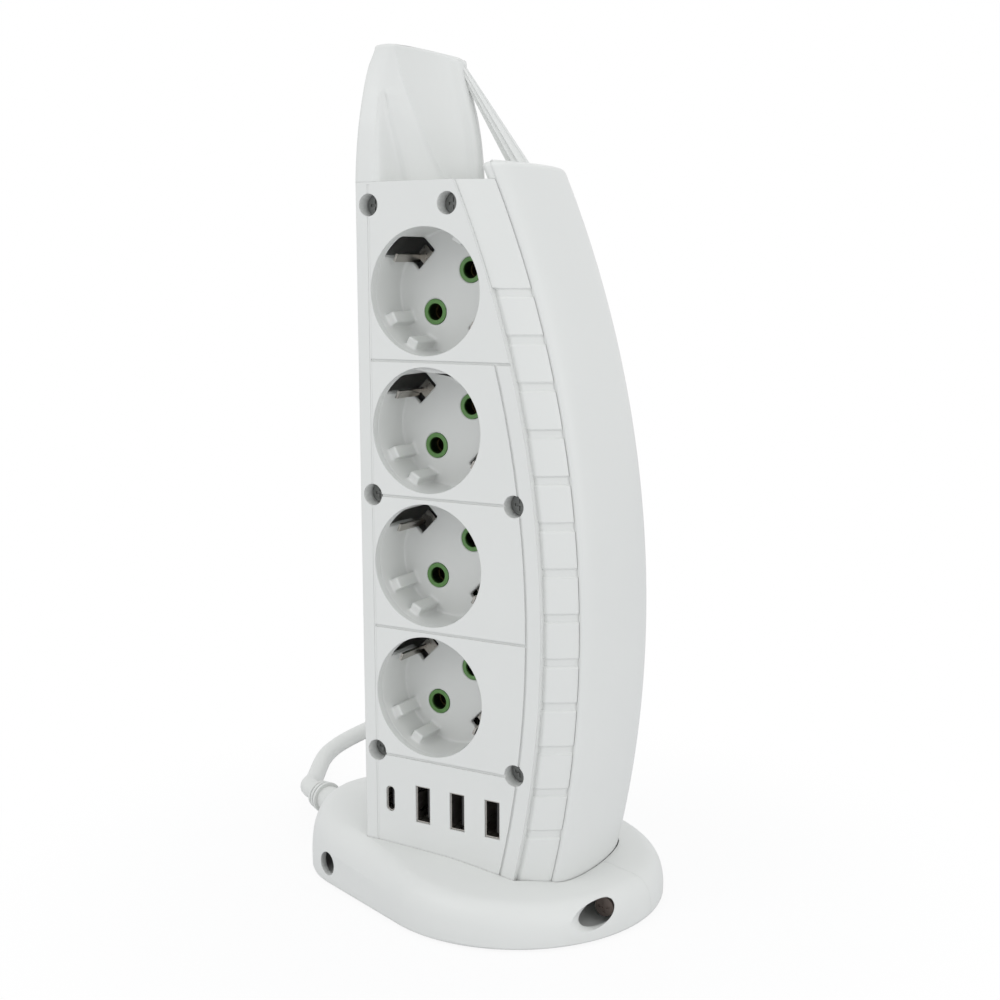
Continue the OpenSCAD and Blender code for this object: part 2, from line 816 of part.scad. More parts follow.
// Earth clip: a strap behind the insert, a sprung bar on each side, and a tab to the earth bar
strap_w = 5;
clip_in = 1.4;
clip_r = socket_d / 2 - clip_in;
clip_share = 0.16;
clip_top = rim_y + socket_depth * clip_share;
clip_turn = -20;
clip_off_share = -0.26;
tab_share = 0.4;
tab_r = socket_d * tab_share;
tab_w = 3.4;
module earth_clip(i) color(metal) {
    at_socket(i) rotate([0, 0, pin_turn - 90]) {
        translate([-clip_r, -strap_w / 2, strap_y]) cube([2 * clip_r, strap_w, metal_t]);
        for (s = [0, 180]) {
            rotate([0, 0, s])
                translate([clip_r - 2 * metal_t, earth_slot_w * clip_off_share, clip_top])
                    rotate([0, 0, clip_turn])
                        translate([0, -earth_w / 2, 0])
                            cube([metal_t, earth_w, strap_y + metal_t - clip_top]);
        }
        translate([-tab_r, -tab_w / 2, strap_y]) cube([metal_t, tab_w, earth_bar_y - fine_play - strap_y]);
    }
}

module socket_insert_1() socket_insert(0);
module socket_insert_2() socket_insert(1);
module socket_insert_3() socket_insert(2);
module socket_insert_4() socket_insert(3);
module contact_carrier_1() contact_carrier(0);
module contact_carrier_2() contact_carrier(1);
module contact_carrier_3() contact_carrier(2);
module contact_carrier_4() contact_carrier(3);
module earth_clip_1() earth_clip(0);
module earth_clip_2() earth_clip(1);
module earth_clip_3() earth_clip(2);
module earth_clip_4() earth_clip(3);

// Upright bars with a spring sleeve at each pin hole
pin_off = pin_at * cos(45);
tail_share = 0.72;
bar_tail = socket_pitch * tail_share;
bar_foot = socket_z(socket_last) - bar_tail;
earth_bar_x = socket_x - (tab_r - metal_t) * cos(45);
module contact_bar(s) {
    x = socket_x + s * pin_off;
    low = bar_foot + s * pin_off;
    difference() {
        union() {
            translate([x - bar_w / 2, bar_y, low])
                cube([bar_w, metal_t, socket_z(0) + s * pin_off + bar_w - low]);
            for (i = [0:socket_last]) {
                along_y(x, socket_z(i) + s * pin_off, sleeve_y + fine_play, bar_y + metal_t, sleeve_d);
            }
        }
        for (i = [0:socket_last]) {
            along_y(x, socket_z(i) + s * pin_off, carrier_y, bar_y - over, pin_d);
        }
    }
}
module live_bar() color(metal) contact_bar(-1);
module neutral_bar() color(metal) contact_bar(1);
module earth_bar() color(metal) {
    translate([earth_bar_x - bar_w / 2, earth_bar_y, bar_foot])
        cube([bar_w, metal_t, socket_z(0) + 3 * bar_w - bar_foot]);
}

// Charging sockets: metal shells with a tongue each, on a board with its own supply
shell_t = 0.4;
shell_y = over - half_d;
shell_end = board_y - fine_play;
tongue_t = 1.8;
tongue_in = 2;
module usb_a_shells() color(metal) {
    w = usb_w - 2 * play;
    h = usb_h - 2 * play;
    for (i = [0:usb_count - 1]) {
        translate([usb_x + i * usb_pitch, 0, usb_z]) difference() {
            translate([-w / 2, shell_y, -h / 2]) cube([w, shell_end - shell_y, h]);
            translate([shell_t - w / 2, shell_y - over, shell_t - h / 2])
                cube([w - 2 * shell_t, shell_end - shell_t + over - shell_y, h - 2 * shell_t]);
        }
    }
}
module usb_a_tongues() color(leaf) {
    h = usb_h - 6 * shell_t;
    start = shell_y + tongue_in;
    for (i = [0:usb_count - 1]) {
        translate([usb_x + i * usb_pitch + usb_w / 2 - shell_t - 2 * play - tongue_t, start, usb_z - h / 2])
            cube([tongue_t, shell_end - shell_t - fine_play - start, h]);
    }
}

// Rounded bar of the small charging socket, drawn in by a margin
module usb_c_bar(t, from, to) {
    r = usb_c_w / 2 - t;
    off = (usb_c_h - usb_c_w) / 2;
    for (s = [-1, 1]) {
        along_y(usb_c_x, usb_z + s * off, from, to, 2 * r);
    }
    translate([usb_c_x - r, from, usb_z - off]) cube([2 * r, to - from, 2 * off]);
}
module usb_c_shell() color(metal) {
    difference() {
        usb_c_bar(play, shell_y, shell_end);
        usb_c_bar(play + shell_t, shell_y - over, shell_end - shell_t);
    }
}
tongue_c_t = 0.7;
module usb_c_tongue() color(leaf) {
    h = usb_c_h - usb_c_w;
    start = shell_y + 2 * tongue_c_t;
    translate([usb_c_x - tongue_c_t / 2, start, usb_z - h / 2])
        cube([tongue_c_t, shell_end - shell_t - fine_play - start, h]);
}
module usb_board() color("seagreen") {
    translate([board_left - post_d, board_y, board_low - post_d])
        cube([board_right - board_left + 2 * post_d, board_t, board_high - board_low + post_d]);
}
supply_y = board_y + board_t;
module usb_transformer() color("goldenrod") {
    w = usb_pitch;
    translate([usb_x, supply_y, usb_z - w / 2]) cube([w + post_d, w, w]);
}
module usb_capacitors() color("midnightblue") {
    d = 2 * usb_c_w;
    for (s = [-1, 1]) {
        along_y(usb_c_x + d / 2, usb_z + s * (d + over) / 2, supply_y, supply_y + 2 * d, d);
    }
}

varistor_d = 13;
varistor_t = 4.5;
varistor_gap = 1;
fuse_d = 3.6;
fuse_in = 6;
module surge_board() color("seagreen") {
    translate([socket_x - surge_w / 2, surge_y, surge_low]) cube([surge_w, board_t, surge_high - surge_low]);
}
module varistors() color("royalblue") {
    for (k = [-1, 0, 1]) {
        along_y(socket_x + bar_w, (surge_low + surge_high) / 2 + k * (varistor_d + varistor_gap),
            surge_y - varistor_t, surge_y, varistor_d);
    }
}
module thermal_fuse() color("white") {
    translate([socket_x - surge_w / 2 + fuse_in, surge_y - fuse_d / 2, surge_low + 2 * bar_w])
        cylinder(d = fuse_d, h = 3 * bar_w);
}

// Sweep of a round lead along points, with a chosen direction at each end
function unit(v) = v / norm(v);
function heading(list, i, first, last) =
    i == 0 ? unit(first) : i == len(list) - 1 ? unit(last) : unit(list[i + 1] - list[i - 1]);
function sweep_rings(list, d, sides, first, last, ref) = [
    for (i = [0:len(list) - 1]) let (
        h = heading(list, i, first, last),
        u = unit(cross(h, ref)),
        v = cross(h, u)
    ) [for (j = [0:sides - 1]) let (a = 360 * (j + 0.5) / sides) list[i] + (u * cos(a) + v * sin(a)) * d / 2]
];
module sweep(list, d, sides, first, last, ref) {
    closed_tube(sweep_rings(list, d, sides, first, last, ref), list[0], list[len(list) - 1]);
}

// Clamp over the lead inside the base, with a screw on each side
clamp_gap = 1.1;
clamp_x = face_left - nose_bulge - clamp_gap;
clamp_w = 5;
clamp_half_share = 1.5;
clamp_half = cord_d * clamp_half_share;
clamp_bridge = 1.5;
clamp_top = gland_z + cord_d / 2 + clamp_bridge;
cord_in_x = clamp_x - clamp_w / 2;
module cord_clamp() color("dimgray") {
    difference() {
        translate([clamp_x - clamp_w, -clamp_half, feet_h + plate_t + fine_play])
            cube([clamp_w, 2 * clamp_half, clamp_top - feet_h - plate_t]);
        translate([clamp_x - clamp_w - over, 0, gland_z]) rotate([0, 90, 0])
            cylinder(d = cord_d + 2 * fine_play, h = clamp_w + 2 * over);
        for (s = [-1, 1]) {
            translate([cord_in_x, s * cord_d, feet_h + plate_t + over])
                cylinder(d = screw_d + 2 * fine_play, h = clamp_top);
        }
    }
}
module clamp_screws() color(metal) {
    for (s = [-1, 1]) {
        translate([cord_in_x, s * cord_d, clamp_top - 3 * screw_d])
            cylinder(d = screw_d, h = 3 * screw_d + over);
        translate([cord_in_x, s * cord_d, clamp_top + fine_play]) cylinder(d = clamp_w, h = 3 * over);
    }
}

// The lead's wires run from the clamp through the gate and up to the bars
up = [0, 0, 1];
back = [0, 1, 0];
wire_sides = 8;
wire_step = wire_d + play;
module wire(k, x_end, y_end, z_end) {
    gate = [clamp_x + clamp_w, k * wire_step, gland_z];
    turn = [x_end, y_end, z_end - 4 * wire_d];
    sweep([
        [cord_in_x, k * wire_step, gland_z],
        [clamp_x, k * wire_step, gland_z],
        gate,
        mix(gate, turn, 1 / 3),
        mix(gate, turn, 2 / 3),
        turn,
        [x_end, y_end, z_end],
    ], wire_d, wire_sides, [1, 0, 0], up, back);
}
module live_lead() color("sienna") wire(0, socket_x - pin_off, bar_y + metal_t / 2, bar_foot - pin_off);
module neutral_lead() color("steelblue") {
    wire(-1, socket_x + pin_off, bar_y + metal_t / 2, bar_foot + pin_off);
}
module earth_lead() color("olivedrab") wire(1, earth_bar_x, earth_bar_y + metal_t / 2, bar_foot);

// Screws: a head with a cross slot at the well's floor and a thread into the boss behind it
head_h = 2.4;
slot_w = 1.2;
slot_l_share = 0.68;
module screw(x, z, floor_y, len) {
    slot_l = head_d * slot_l_share;
    difference() {
        union() {
            along_y(x, z, floor_y - fine_play - head_h, floor_y - fine_play, head_d);
            along_y(x, z, floor_y - head_h / 2, floor_y + len, screw_d);
        }
        for (a = [45, -45]) {
            translate([x, floor_y - head_h / 2, z]) rotate([0, a, 0])
                translate([-slot_l / 2, -head_h, -slot_w / 2]) cube([slot_l, head_h, slot_w]);
        }
    }
}
module face_screws() color("darkslategray") {
    for (w = face_wells) {
        screw(w[0], w[1], well_end, screw_len);
    }
}
module base_screws() color("saddlebrown") {
    for (i = [0, 1]) {
        screw(base_well_x[i], base_well_z[i], base_well_y[i], base_screw_len);
    }
}

// Strain relief through the base's left tip: a tapered sleeve with three rings
relief_in = 9;
relief_out = 11;
relief_turn = 22;
relief_lead = 1.5;
relief_gap = 0.9;
relief_start = relief_in - base_half_l;
relief_long = relief_in + relief_out;
relief_end = [
    relief_start - (relief_lead + relief_long) * cos(relief_turn),
    (relief_lead + relief_long) * sin(relief_turn),
    gland_z
];
module at_relief() {
    translate([relief_start, 0, gland_z]) rotate([0, 0, -relief_turn])
        translate([-relief_lead, 0, 0]) rotate([0, -90, 0]) children();
}
relief_flange = 1.2;
relief_tip_wall = 0.8;
relief_ring_t = 1.3;
relief_ring_fall = 0.5;
module strain_relief() color(cabinet) {
    tip_d = cord_d + 2 * relief_tip_wall;
    at_relief() difference() {
        union() {
            cylinder(d = relief_neck_d + 2 * relief_flange, h = relief_ring_t);
            cylinder(d1 = relief_neck_d, d2 = tip_d, h = relief_long);
            for (k = [0:2]) {
                translate([0, 0, relief_long - relief_ring_t - k * (relief_ring_t + relief_gap)])
                    cylinder(
                        d1 = relief_d - (1 - k) * relief_ring_fall,
                        d2 = relief_d - (2 - k) * relief_ring_fall,
                        h = relief_ring_t
                    );
            }
        }
        translate([0, 0, -over]) cylinder(d = cord_d + 2 * fine_play, h = relief_long + 2 * over);
    }
}

// Free stretch of the lead, from the clamp out of the base and round behind the tower
cord_sides = 10;
coil_x = -74;
coil_y = 140;
coil_start = 165;
low_z = cord_d / 2;
high_z = low_z + cord_d + over;
coil_dir = [sin(coil_start), -cos(coil_start), 0];
module cord() color(cabinet) {
    sweep([
        [cord_in_x, 0, gland_z],
        [relief_start, 0, gland_z],
        relief_end,
        [-79.6, 10.3, 13.8],
        [-83.5, 13.2, 13.2],
        [-86.9, 16.8, 12.3],
        [-90.2, 22, 10.9],
        [-95.5, 30, 8.2],
        [-101, 38.5, 5.6],
        [-106.5, 47.5, 4.2],
        [-112, 57, 3.6],
        [-116.8, 66.5, low_z],
        [-120.4, 77, low_z],
        [-122.3, 88, low_z],
        [-122.9, 99, low_z],
        [-122.9, 112, low_z],
        [-122.5, 125, low_z],
        [-122, 138, low_z],
        coil_spot(0),
    ], cord_d, cord_sides, [-1, 0, 0], coil_dir, up);
}

// Wound stretch: in along the lower layer, up at the reversal, out along the upper layer
coil_rings = 24;
coil_sides = 6;
coil_short_share = 1 / 24;
coil_total = 2 * coil_turns - coil_short_share;
coil_mid = coil_turns + 1 / 4;
coil_count = round(coil_total * coil_rings);
function coil_radius(t) = coil_r - coil_step * (coil_mid - abs(coil_mid - t));
function coil_lift(t) = mix(low_z, high_z, min(1, max(0, 2 * (t - coil_turns))));
function coil_spot(t) = let (a = coil_start - 360 * t)
    [coil_x + coil_radius(t) * cos(a), coil_y + coil_radius(t) * sin(a), coil_lift(t)];
coil_points = [for (i = [0:coil_count]) coil_spot(coil_total * i / coil_count)];
coil_end = coil_start - 360 * coil_total;
tail_dir = [sin(coil_end), -cos(coil_end), 0];
coil_stub = coil_points[coil_count] + tail_dir * cord_d;
module cord_coil() color(cabinet) {
    sweep(concat(coil_points, [coil_stub]), cord_d, coil_sides, coil_dir, tail_dir, up);
}
coil_gap = min([
    for (i = [0:coil_count - 1]) each
        [for (j = [i + coil_rings / 2:1:coil_count]) norm(coil_points[i] - coil_points[j]) - cord_d]
]);
echo(coil_gap = coil_gap);

// The last stretch rises from the coil to the plug that lies beside it
plug_axis_z = plug_d / 2;
tail_len = 40;
tail_up_shares = [0, 0.15, 0.5, 0.85, 1];
tail_run = tail_dir * tail_len;
plug_start = [coil_stub[0] + tail_run[0], coil_stub[1] + tail_run[1], plug_axis_z];
module cord_tail() color(cabinet) {
    sweep([
        for (i = [0:4]) [
            mix(coil_stub[0], plug_start[0], i / 4),
            mix(coil_stub[1], plug_start[1], i / 4),
            mix(coil_stub[2], plug_axis_z, tail_up_shares[i]),
        ]
    ], cord_d, cord_sides, tail_dir, tail_dir, up);
}

// Round plug lying on the floor, its pins level with each other
neck_d = 11;
plug_z_shares = [0.25, 0.42, 0.52, 0.6];
plug_r_shares = [0.36, 0.44];
module at_plug() {
    translate(plug_start) rotate([0, 0, atan2(tail_dir[1], tail_dir[0])]) rotate([0, 90, 0]) children();
}
plate_w = 4;
plate_share = 0.66;
plate_long = plug_len * (1 - plate_share) - 3 * over;
plate_in = plug_d / 2 - 2 * metal_t;
module plug_body() color(cabinet) {
    at_plug() difference() {
        rotate_extrude($fn = 64) polygon([
            [0, 0],
            [neck_d / 2, 0],
            [neck_d / 2 + 2 * over, plug_len * plug_z_shares[0]],
            [plug_d * plug_r_shares[0], plug_len * plug_z_shares[1]],
            [plug_d * plug_r_shares[1], plug_len * plug_z_shares[2]],
            [plug_d / 2, plug_len * plug_z_shares[3]],
            [plug_d / 2, plug_len - 2 * over],
            [plug_d / 2 - 2 * over, plug_len],
            [0, plug_len],
        ]);
        for (s = [0, 180]) {
            rotate([0, 0, s])
                translate([plate_in, -plate_w / 2, plug_len * plate_share] - fine_play * [1, 1, 1])
                    cube([plug_d, plate_w + 2 * fine_play, plate_long + 2 * fine_play]);
        }
    }
}
module plug_pins() color(metal) {
    at_plug() for (s = [-1, 1]) {
        translate([0, s * pin_at, plug_len]) cylinder(d = pin_d, h = pin_len - pin_d / 2);
        translate([0, s * pin_at, plug_len + pin_len - pin_d / 2]) sphere(d = pin_d);
    }
}
module plug_earth_plates() color(metal) {
    at_plug() for (s = [0, 180]) {
        rotate([0, 0, s]) translate([plate_in, -plate_w / 2, plug_len * plate_share])
            cube([metal_t, plate_w, plate_long]);
    }
}

front_shell();
rear_shell();
rib_strip_front();
rib_strip_rear();
sail_cover();
crown_front();
crown_rear();
crown_strut();
base_front();
base_rear();
base_plate();
rubber_feet();
socket_insert_1();
socket_insert_2();
socket_insert_3();
socket_insert_4();
contact_carrier_1();
contact_carrier_2();
contact_carrier_3();
contact_carrier_4();
earth_clip_1();
earth_clip_2();
earth_clip_3();
earth_clip_4();
live_bar();
neutral_bar();
earth_bar();
usb_board();
usb_a_shells();
usb_a_tongues();
usb_c_shell();
usb_c_tongue();
usb_transformer();
usb_capacitors();
surge_board();
varistors();
thermal_fuse();
live_lead();
neutral_lead();
earth_lead();
cord_clamp();
clamp_screws();
face_screws();
base_screws();
strain_relief();
cord();
cord_coil();
cord_tail();
plug_body();
plug_pins();
plug_earth_plates();
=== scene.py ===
import bpy
import bmesh
import math
from mathutils import Matrix, Vector


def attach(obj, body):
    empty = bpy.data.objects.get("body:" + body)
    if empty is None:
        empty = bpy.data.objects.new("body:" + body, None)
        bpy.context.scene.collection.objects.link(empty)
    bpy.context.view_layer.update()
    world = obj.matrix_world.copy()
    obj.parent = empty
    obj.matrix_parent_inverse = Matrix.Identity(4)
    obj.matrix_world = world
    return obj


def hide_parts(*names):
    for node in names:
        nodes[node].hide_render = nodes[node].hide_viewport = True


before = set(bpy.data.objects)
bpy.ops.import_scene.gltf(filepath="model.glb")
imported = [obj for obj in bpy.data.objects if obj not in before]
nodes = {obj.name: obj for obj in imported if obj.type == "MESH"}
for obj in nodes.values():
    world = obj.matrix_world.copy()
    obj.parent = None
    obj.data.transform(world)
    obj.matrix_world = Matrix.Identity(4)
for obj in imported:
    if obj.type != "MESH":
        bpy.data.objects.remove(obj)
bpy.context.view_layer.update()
mm = 0.001

# The photograph's view, found from the sockets and the straight edges
view = {
    "place": (0.2440, -0.4135, 0.2098), "right": (0.8688, 0.4951, -0.0030),
    "up": (-0.0752, 0.1380, 0.9876), "lens": 52.2, "sensor": 36.0,
}


def show(thing):
    bpy.context.scene.collection.objects.link(thing)


def makeCamera():
    data = bpy.data.cameras.new("photoView")
    data.lens = view["lens"]
    data.sensor_width = view["sensor"]
    right = Vector(view["right"]).normalized()
    ahead = Vector(view["up"]).cross(right).normalized()
    up = right.cross(ahead)
    turn = Matrix((right, up, -ahead)).transposed().to_4x4()
    camera = bpy.data.objects.new("photoView", data)
    camera.matrix_world = Matrix.Translation(view["place"]) @ turn
    show(camera)
    bpy.context.scene.camera = camera


makeCamera()
print("camera set")


# Small helpers for trees and materials
def feed(value, slot):
    # a socket, or a term that holds one, is linked to the input; any other value is set there
    value = getattr(value, "socket", value)
    if isinstance(value, bpy.types.NodeSocket):
        slot.id_data.links.new(value, slot)
    else:
        slot.default_value = value


def nodeOf(tree, kind, *ordered, **named):
    # ordered values go to the first inputs, named ones are settings or named inputs
    node = tree.nodes.new(kind)
    for key in [key for key in named if hasattr(node, key)]:
        setattr(node, key, named.pop(key))
    for value, slot in zip(ordered, node.inputs):
        feed(value, slot)
    for key, value in named.items():
        feed(value, node.inputs[key.replace("_", " ")])
    return node


def startMaterial(name, roughness, metallic=0.0):
    material = bpy.data.materials.new(name)
    material.use_nodes = True
    tree = material.node_tree
    shader = tree.nodes["Principled BSDF"]
    shader.inputs["Roughness"].default_value = roughness
    shader.inputs["Metallic"].default_value = metallic
    return material, tree, shader


def objectNoise(tree, scale, detail, stretch=(1, 1, 1)):
    place = nodeOf(tree, "ShaderNodeTexCoord").outputs["Object"]
    mapping = nodeOf(tree, "ShaderNodeMapping", Vector=place, Scale=stretch)
    noise = nodeOf(tree, "ShaderNodeTexNoise", Vector=mapping.outputs[0], Scale=scale, Detail=detail)
    return noise.outputs["Fac"]


def shadeBetween(tree, factor, low, high, target):
    # low and high are colours, or low is the socket that gives one
    blend = nodeOf(tree, "ShaderNodeMix", data_type="RGBA")
    entry = {socket.identifier: socket for socket in (*blend.inputs, *blend.outputs)}
    feed((*low, 1) if isinstance(low, tuple) else low, entry["A_Color"])
    feed((*high, 1), entry["B_Color"])
    feed(factor, entry["Factor_Float"])
    feed(entry["Result_Color"], target)


def mixShaders(tree, factor, first, second, sink):
    blend = nodeOf(tree, "ShaderNodeMixShader", factor, first, second)
    feed(blend.outputs[0], tree.nodes[sink].inputs["Surface"])


# How strongly the noise acts on the finishes
surface = {
    "noiseLow": 0.3, "noiseHigh": 0.7, "roughPlay": 0.05, "grain": 0.35, "brushed": 0.25,
    "brushDepth": 0.00003, "metalRough": 0.4, "edgeSamples": 4,
    "mottleDetail": 4.0, "grainDetail": 2.0, "brushDetail": 3.0,
}


def spread(tree, factor, low, high, target):
    ranged = nodeOf(tree, "ShaderNodeMapRange", factor, surface["noiseLow"], surface["noiseHigh"], low, high)
    feed(ranged.outputs[0], target)


def grain(tree, shader, factor, strength, depth):
    bump = nodeOf(tree, "ShaderNodeBump", Height=factor, Strength=strength, Distance=depth)
    feed(bump.outputs[0], shader.inputs["Normal"])
    return bump


def softEdges(tree, bump, radius):
    soft = nodeOf(tree, "ShaderNodeBevel", samples=surface["edgeSamples"], Radius=radius)
    feed(soft.outputs[0], bump.inputs["Normal"])


# Finishes: linear colours of the pair, roughness, scales of mottle and grain per metre, grain depth
# and edge radius in metres
finishColumns = ("low", "high", "rough", "mottle", "grain", "depth", "edge")
finishes = {
    "whitePlastic": ((0.705, 0.715, 0.700), (0.735, 0.745, 0.728), 0.42, 30, 2600, 0.00002, 0.0003),
    "leadJacket": ((0.700, 0.710, 0.690), (0.740, 0.750, 0.730), 0.52, 60, 1800, 0.00003, 0.0),
    "greenPlastic": ((0.095, 0.225, 0.060), (0.120, 0.270, 0.078), 0.38, 90, 2600, 0.00002, 0.0002),
    "darkPlastic": ((0.018, 0.019, 0.020), (0.030, 0.031, 0.033), 0.45, 80, 2200, 0.00002, 0.0002),
    "rubber": ((0.045, 0.046, 0.048), (0.070, 0.071, 0.074), 0.78, 120, 1500, 0.00005, 0.0002),
    "boardGreen": ((0.020, 0.110, 0.045), (0.030, 0.150, 0.060), 0.35, 260, 1400, 0.00003, 0.0001),
    "yellowTape": ((0.700, 0.480, 0.070), (0.800, 0.570, 0.110), 0.40, 150, 1200, 0.00003, 0.0003),
    "canSleeve": ((0.020, 0.030, 0.090), (0.030, 0.045, 0.120), 0.30, 150, 1600, 0.00002, 0.0003),
    "varistorCoat": ((0.030, 0.090, 0.420), (0.045, 0.120, 0.500), 0.34, 200, 900, 0.00008, 0.0005),
    "fuseBody": ((0.640, 0.620, 0.560), (0.720, 0.700, 0.640), 0.50, 200, 1500, 0.00003, 0.0002),
    "liveJacket": ((0.160, 0.060, 0.020), (0.210, 0.085, 0.030), 0.42, 200, 2000, 0.00002, 0.0),
    "neutralJacket": ((0.020, 0.110, 0.360), (0.030, 0.150, 0.440), 0.42, 200, 2000, 0.00002, 0.0),
    "earthJacket": ((0.250, 0.380, 0.030), (0.620, 0.560, 0.040), 0.42, 300, 2000, 0.00002, 0.0),
}
# Metals: linear colours of the pair, roughness from and to, scale of the brushing, its stretch
metalColumns = ("low", "high", "rough", "brush", "stretch")
metals = {
    "nickel": ((0.330, 0.315, 0.290), (0.520, 0.500, 0.465), (0.22, 0.42), 700, (1.0, 0.12, 1.0)),
    "brass": ((0.560, 0.400, 0.160), (0.700, 0.520, 0.230), (0.25, 0.45), 600, (1.0, 1.0, 0.12)),
    "dullBrass": ((0.090, 0.066, 0.030), (0.150, 0.110, 0.050), (0.50, 0.70), 600, (1.0, 1.0, 0.12)),
    "zincSteel": ((0.380, 0.385, 0.390), (0.520, 0.525, 0.530), (0.30, 0.50), 900, (1.0, 1.0, 1.0)),
    "darkSteel": ((0.190, 0.195, 0.190), (0.260, 0.265, 0.260), (0.45, 0.62), 900, (1.0, 1.0, 1.0)),
    "brownSteel": ((0.170, 0.140, 0.125), (0.240, 0.200, 0.180), (0.45, 0.62), 900, (1.0, 1.0, 1.0)),
}


def makeFinish(name):
    want = dict(zip(finishColumns, finishes[name]))
    material, tree, shader = startMaterial(name, want["rough"])
    mottle = objectNoise(tree, want["mottle"], surface["mottleDetail"])
    shadeBetween(tree, mottle, want["low"], want["high"], shader.inputs["Base Color"])
    play = surface["roughPlay"]
    spread(tree, mottle, want["rough"] - play, want["rough"] + play, shader.inputs["Roughness"])
    fine = objectNoise(tree, want["grain"], surface["grainDetail"])
    bump = grain(tree, shader, fine, surface["grain"], want["depth"])
    if want["edge"]:
        softEdges(tree, bump, want["edge"])
    return material


def makeMetal(name):
    want = dict(zip(metalColumns, metals[name]))
    material, tree, shader = startMaterial(name, surface["metalRough"], 1.0)
    brushed = objectNoise(tree, want["brush"], surface["brushDetail"], want["stretch"])
    shadeBetween(tree, brushed, want["low"], want["high"], shader.inputs["Base Color"])
    spread(tree, brushed, *want["rough"], shader.inputs["Roughness"])
    grain(tree, shader, brushed, surface["brushed"], surface["brushDepth"])
    return material


# Painted shade: the green blocks' colour darkens with their depth behind the cup's floor, where shade falls;
# metres along y in the model's frame
blockShade = {"front": -0.0129, "deep": -0.0118, "low": (0.004, 0.010, 0.003)}


def paintDeepShade(material):
    tree = material.node_tree
    target = tree.nodes["Principled BSDF"].inputs["Base Color"]
    place = nodeOf(tree, "ShaderNodeTexCoord").outputs["Object"]
    parts = nodeOf(tree, "ShaderNodeSeparateXYZ", place)
    depth = nodeOf(tree, "ShaderNodeMapRange", parts.outputs["Y"], blockShade["front"], blockShade["deep"])
    # painted shade: towards the deep end the colour runs to the dark green given as low
    shadeBetween(tree, depth.outputs[0], target.links[0].from_socket, blockShade["low"], target)


finishOf = {name: makeFinish(name) for name in finishes}
# painted shade on the green blocks, darker the deeper they sit
paintDeepShade(finishOf["greenPlastic"])
finishOf.update({name: makeMetal(name) for name in metals})
print("materials made:", len(finishOf))


def dress(piece, finish):
    piece.data.materials.clear()
    piece.data.materials.append(finishOf[finish])


# Every new piece passes here: it gets its finish, rides, and takes its solids' place
def settle(piece, finish, slot, *replaced):
    dress(piece, finish)
    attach(piece, "root")
    if replaced:
        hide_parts(*replaced)


def settleWhite(piece, node):
    settle(piece, "whitePlastic", "white_plastic", node)


# The mains lead: one line from the strain relief through the coil to the plug, in millimetres
lead = {
    "thick": 7.0, "turn": 22.0, "endReach": 2.2, "roundSteps": 6, "wayPoints": 4,
    "route": [
        (-75.334, 8.054, 14), (-79.6, 10.3, 13.8), (-83.5, 13.2, 13.2), (-86.9, 16.8, 12.3),
        (-90.2, 22, 10.9), (-95.5, 30, 8.2), (-101, 38.5, 5.6), (-106.5, 47.5, 4.2),
        (-112, 57, 3.6), (-116.8, 66.5, 3.5), (-120.4, 77, 3.5), (-122.3, 88, 3.5),
        (-122.9, 99, 3.5), (-122.9, 112, 3.5), (-122.5, 125, 3.5), (-122, 138, 3.5),
    ],
    "coilCentre": (-74.0, 140.0), "coilRadius": 48.0, "coilStep": 7.6, "coilStart": 165.0,
    "coilTurns": 3, "tightest": 3.25, "spotsPerTurn": 24, "low": 3.5, "high": 11.0,
    "tail": 40.0, "tailRise": (0.15, 0.5, 0.85, 1.0), "plugHeight": 18.5,
}


def coilLine():
    total = 2 * lead["coilTurns"] - 1 / lead["spotsPerTurn"]
    middle = lead["tightest"]
    count = round(total * lead["spotsPerTurn"])
    line = []
    for i in range(count + 1):
        t = total * i / count
        angle = math.radians(lead["coilStart"] - 360 * t)
        radius = lead["coilRadius"] - lead["coilStep"] * (middle - abs(middle - t))
        climb = min(1, max(0, 2 * (t - lead["coilTurns"])))
        height = lead["low"] + (lead["high"] - lead["low"]) * climb
        x, y = lead["coilCentre"]
        line.append((x + radius * math.cos(angle), y + radius * math.sin(angle), height))
    return line, math.radians(lead["coilStart"] - 360 * total)


def leadLine():
    coil, angle = coilLine()
    ahead = Vector((math.sin(angle), -math.cos(angle), 0))
    stub = Vector(coil[-1]) + ahead * lead["thick"]
    tail = []
    for i, rise in enumerate(lead["tailRise"]):
        spot = stub + ahead * lead["tail"] * (i + 1) / len(lead["tailRise"])
        tail.append((spot.x, spot.y, stub.z + (lead["plugHeight"] - stub.z) * rise))
    return lead["route"] + coil + [tuple(stub)] + tail, ahead


def makeLead():
    line, ahead = leadLine()
    data = bpy.data.curves.new("mainsLead", "CURVE")
    data.dimensions = "3D"
    data.bevel_depth = lead["thick"] / 2 * mm
    data.bevel_resolution = lead["roundSteps"]
    data.resolution_u = lead["wayPoints"]
    data.use_fill_caps = True
    spline = data.splines.new("BEZIER")
    spline.bezier_points.add(len(line) - 1)
    for knot, place in zip(spline.bezier_points, line):
        knot.co = Vector(place) * mm
        knot.handle_left_type = knot.handle_right_type = "AUTO"
    reach = lead["endReach"] * mm
    turn = math.radians(lead["turn"])
    out = Vector((-math.cos(turn), math.sin(turn), 0))
    for end, way in ((0, out), (-1, ahead)):
        knot = spline.bezier_points[end]
        knot.handle_left_type = knot.handle_right_type = "FREE"
        knot.handle_left = knot.co - way * reach
        knot.handle_right = knot.co + way * reach
    piece = bpy.data.objects.new("mainsLead", data)
    show(piece)
    settle(piece, "leadJacket", "cord_jacket", "cord", "cord_coil", "cord_tail")
    return piece


mainsLead = makeLead()
print("lead laid")


# Floor, backdrop and light
stage = {
    "floor": 3.0, "paint": (0.86, 0.86, 0.87, 1), "rough": 0.9, "shine": 0.1,
    "fade": (0.07, 0.2, 0.9, 1.0), "sky": (0.97, 0.985, 1.0, 1), "ambient": 0.76, "aim": (0, 0, 0.14),
}
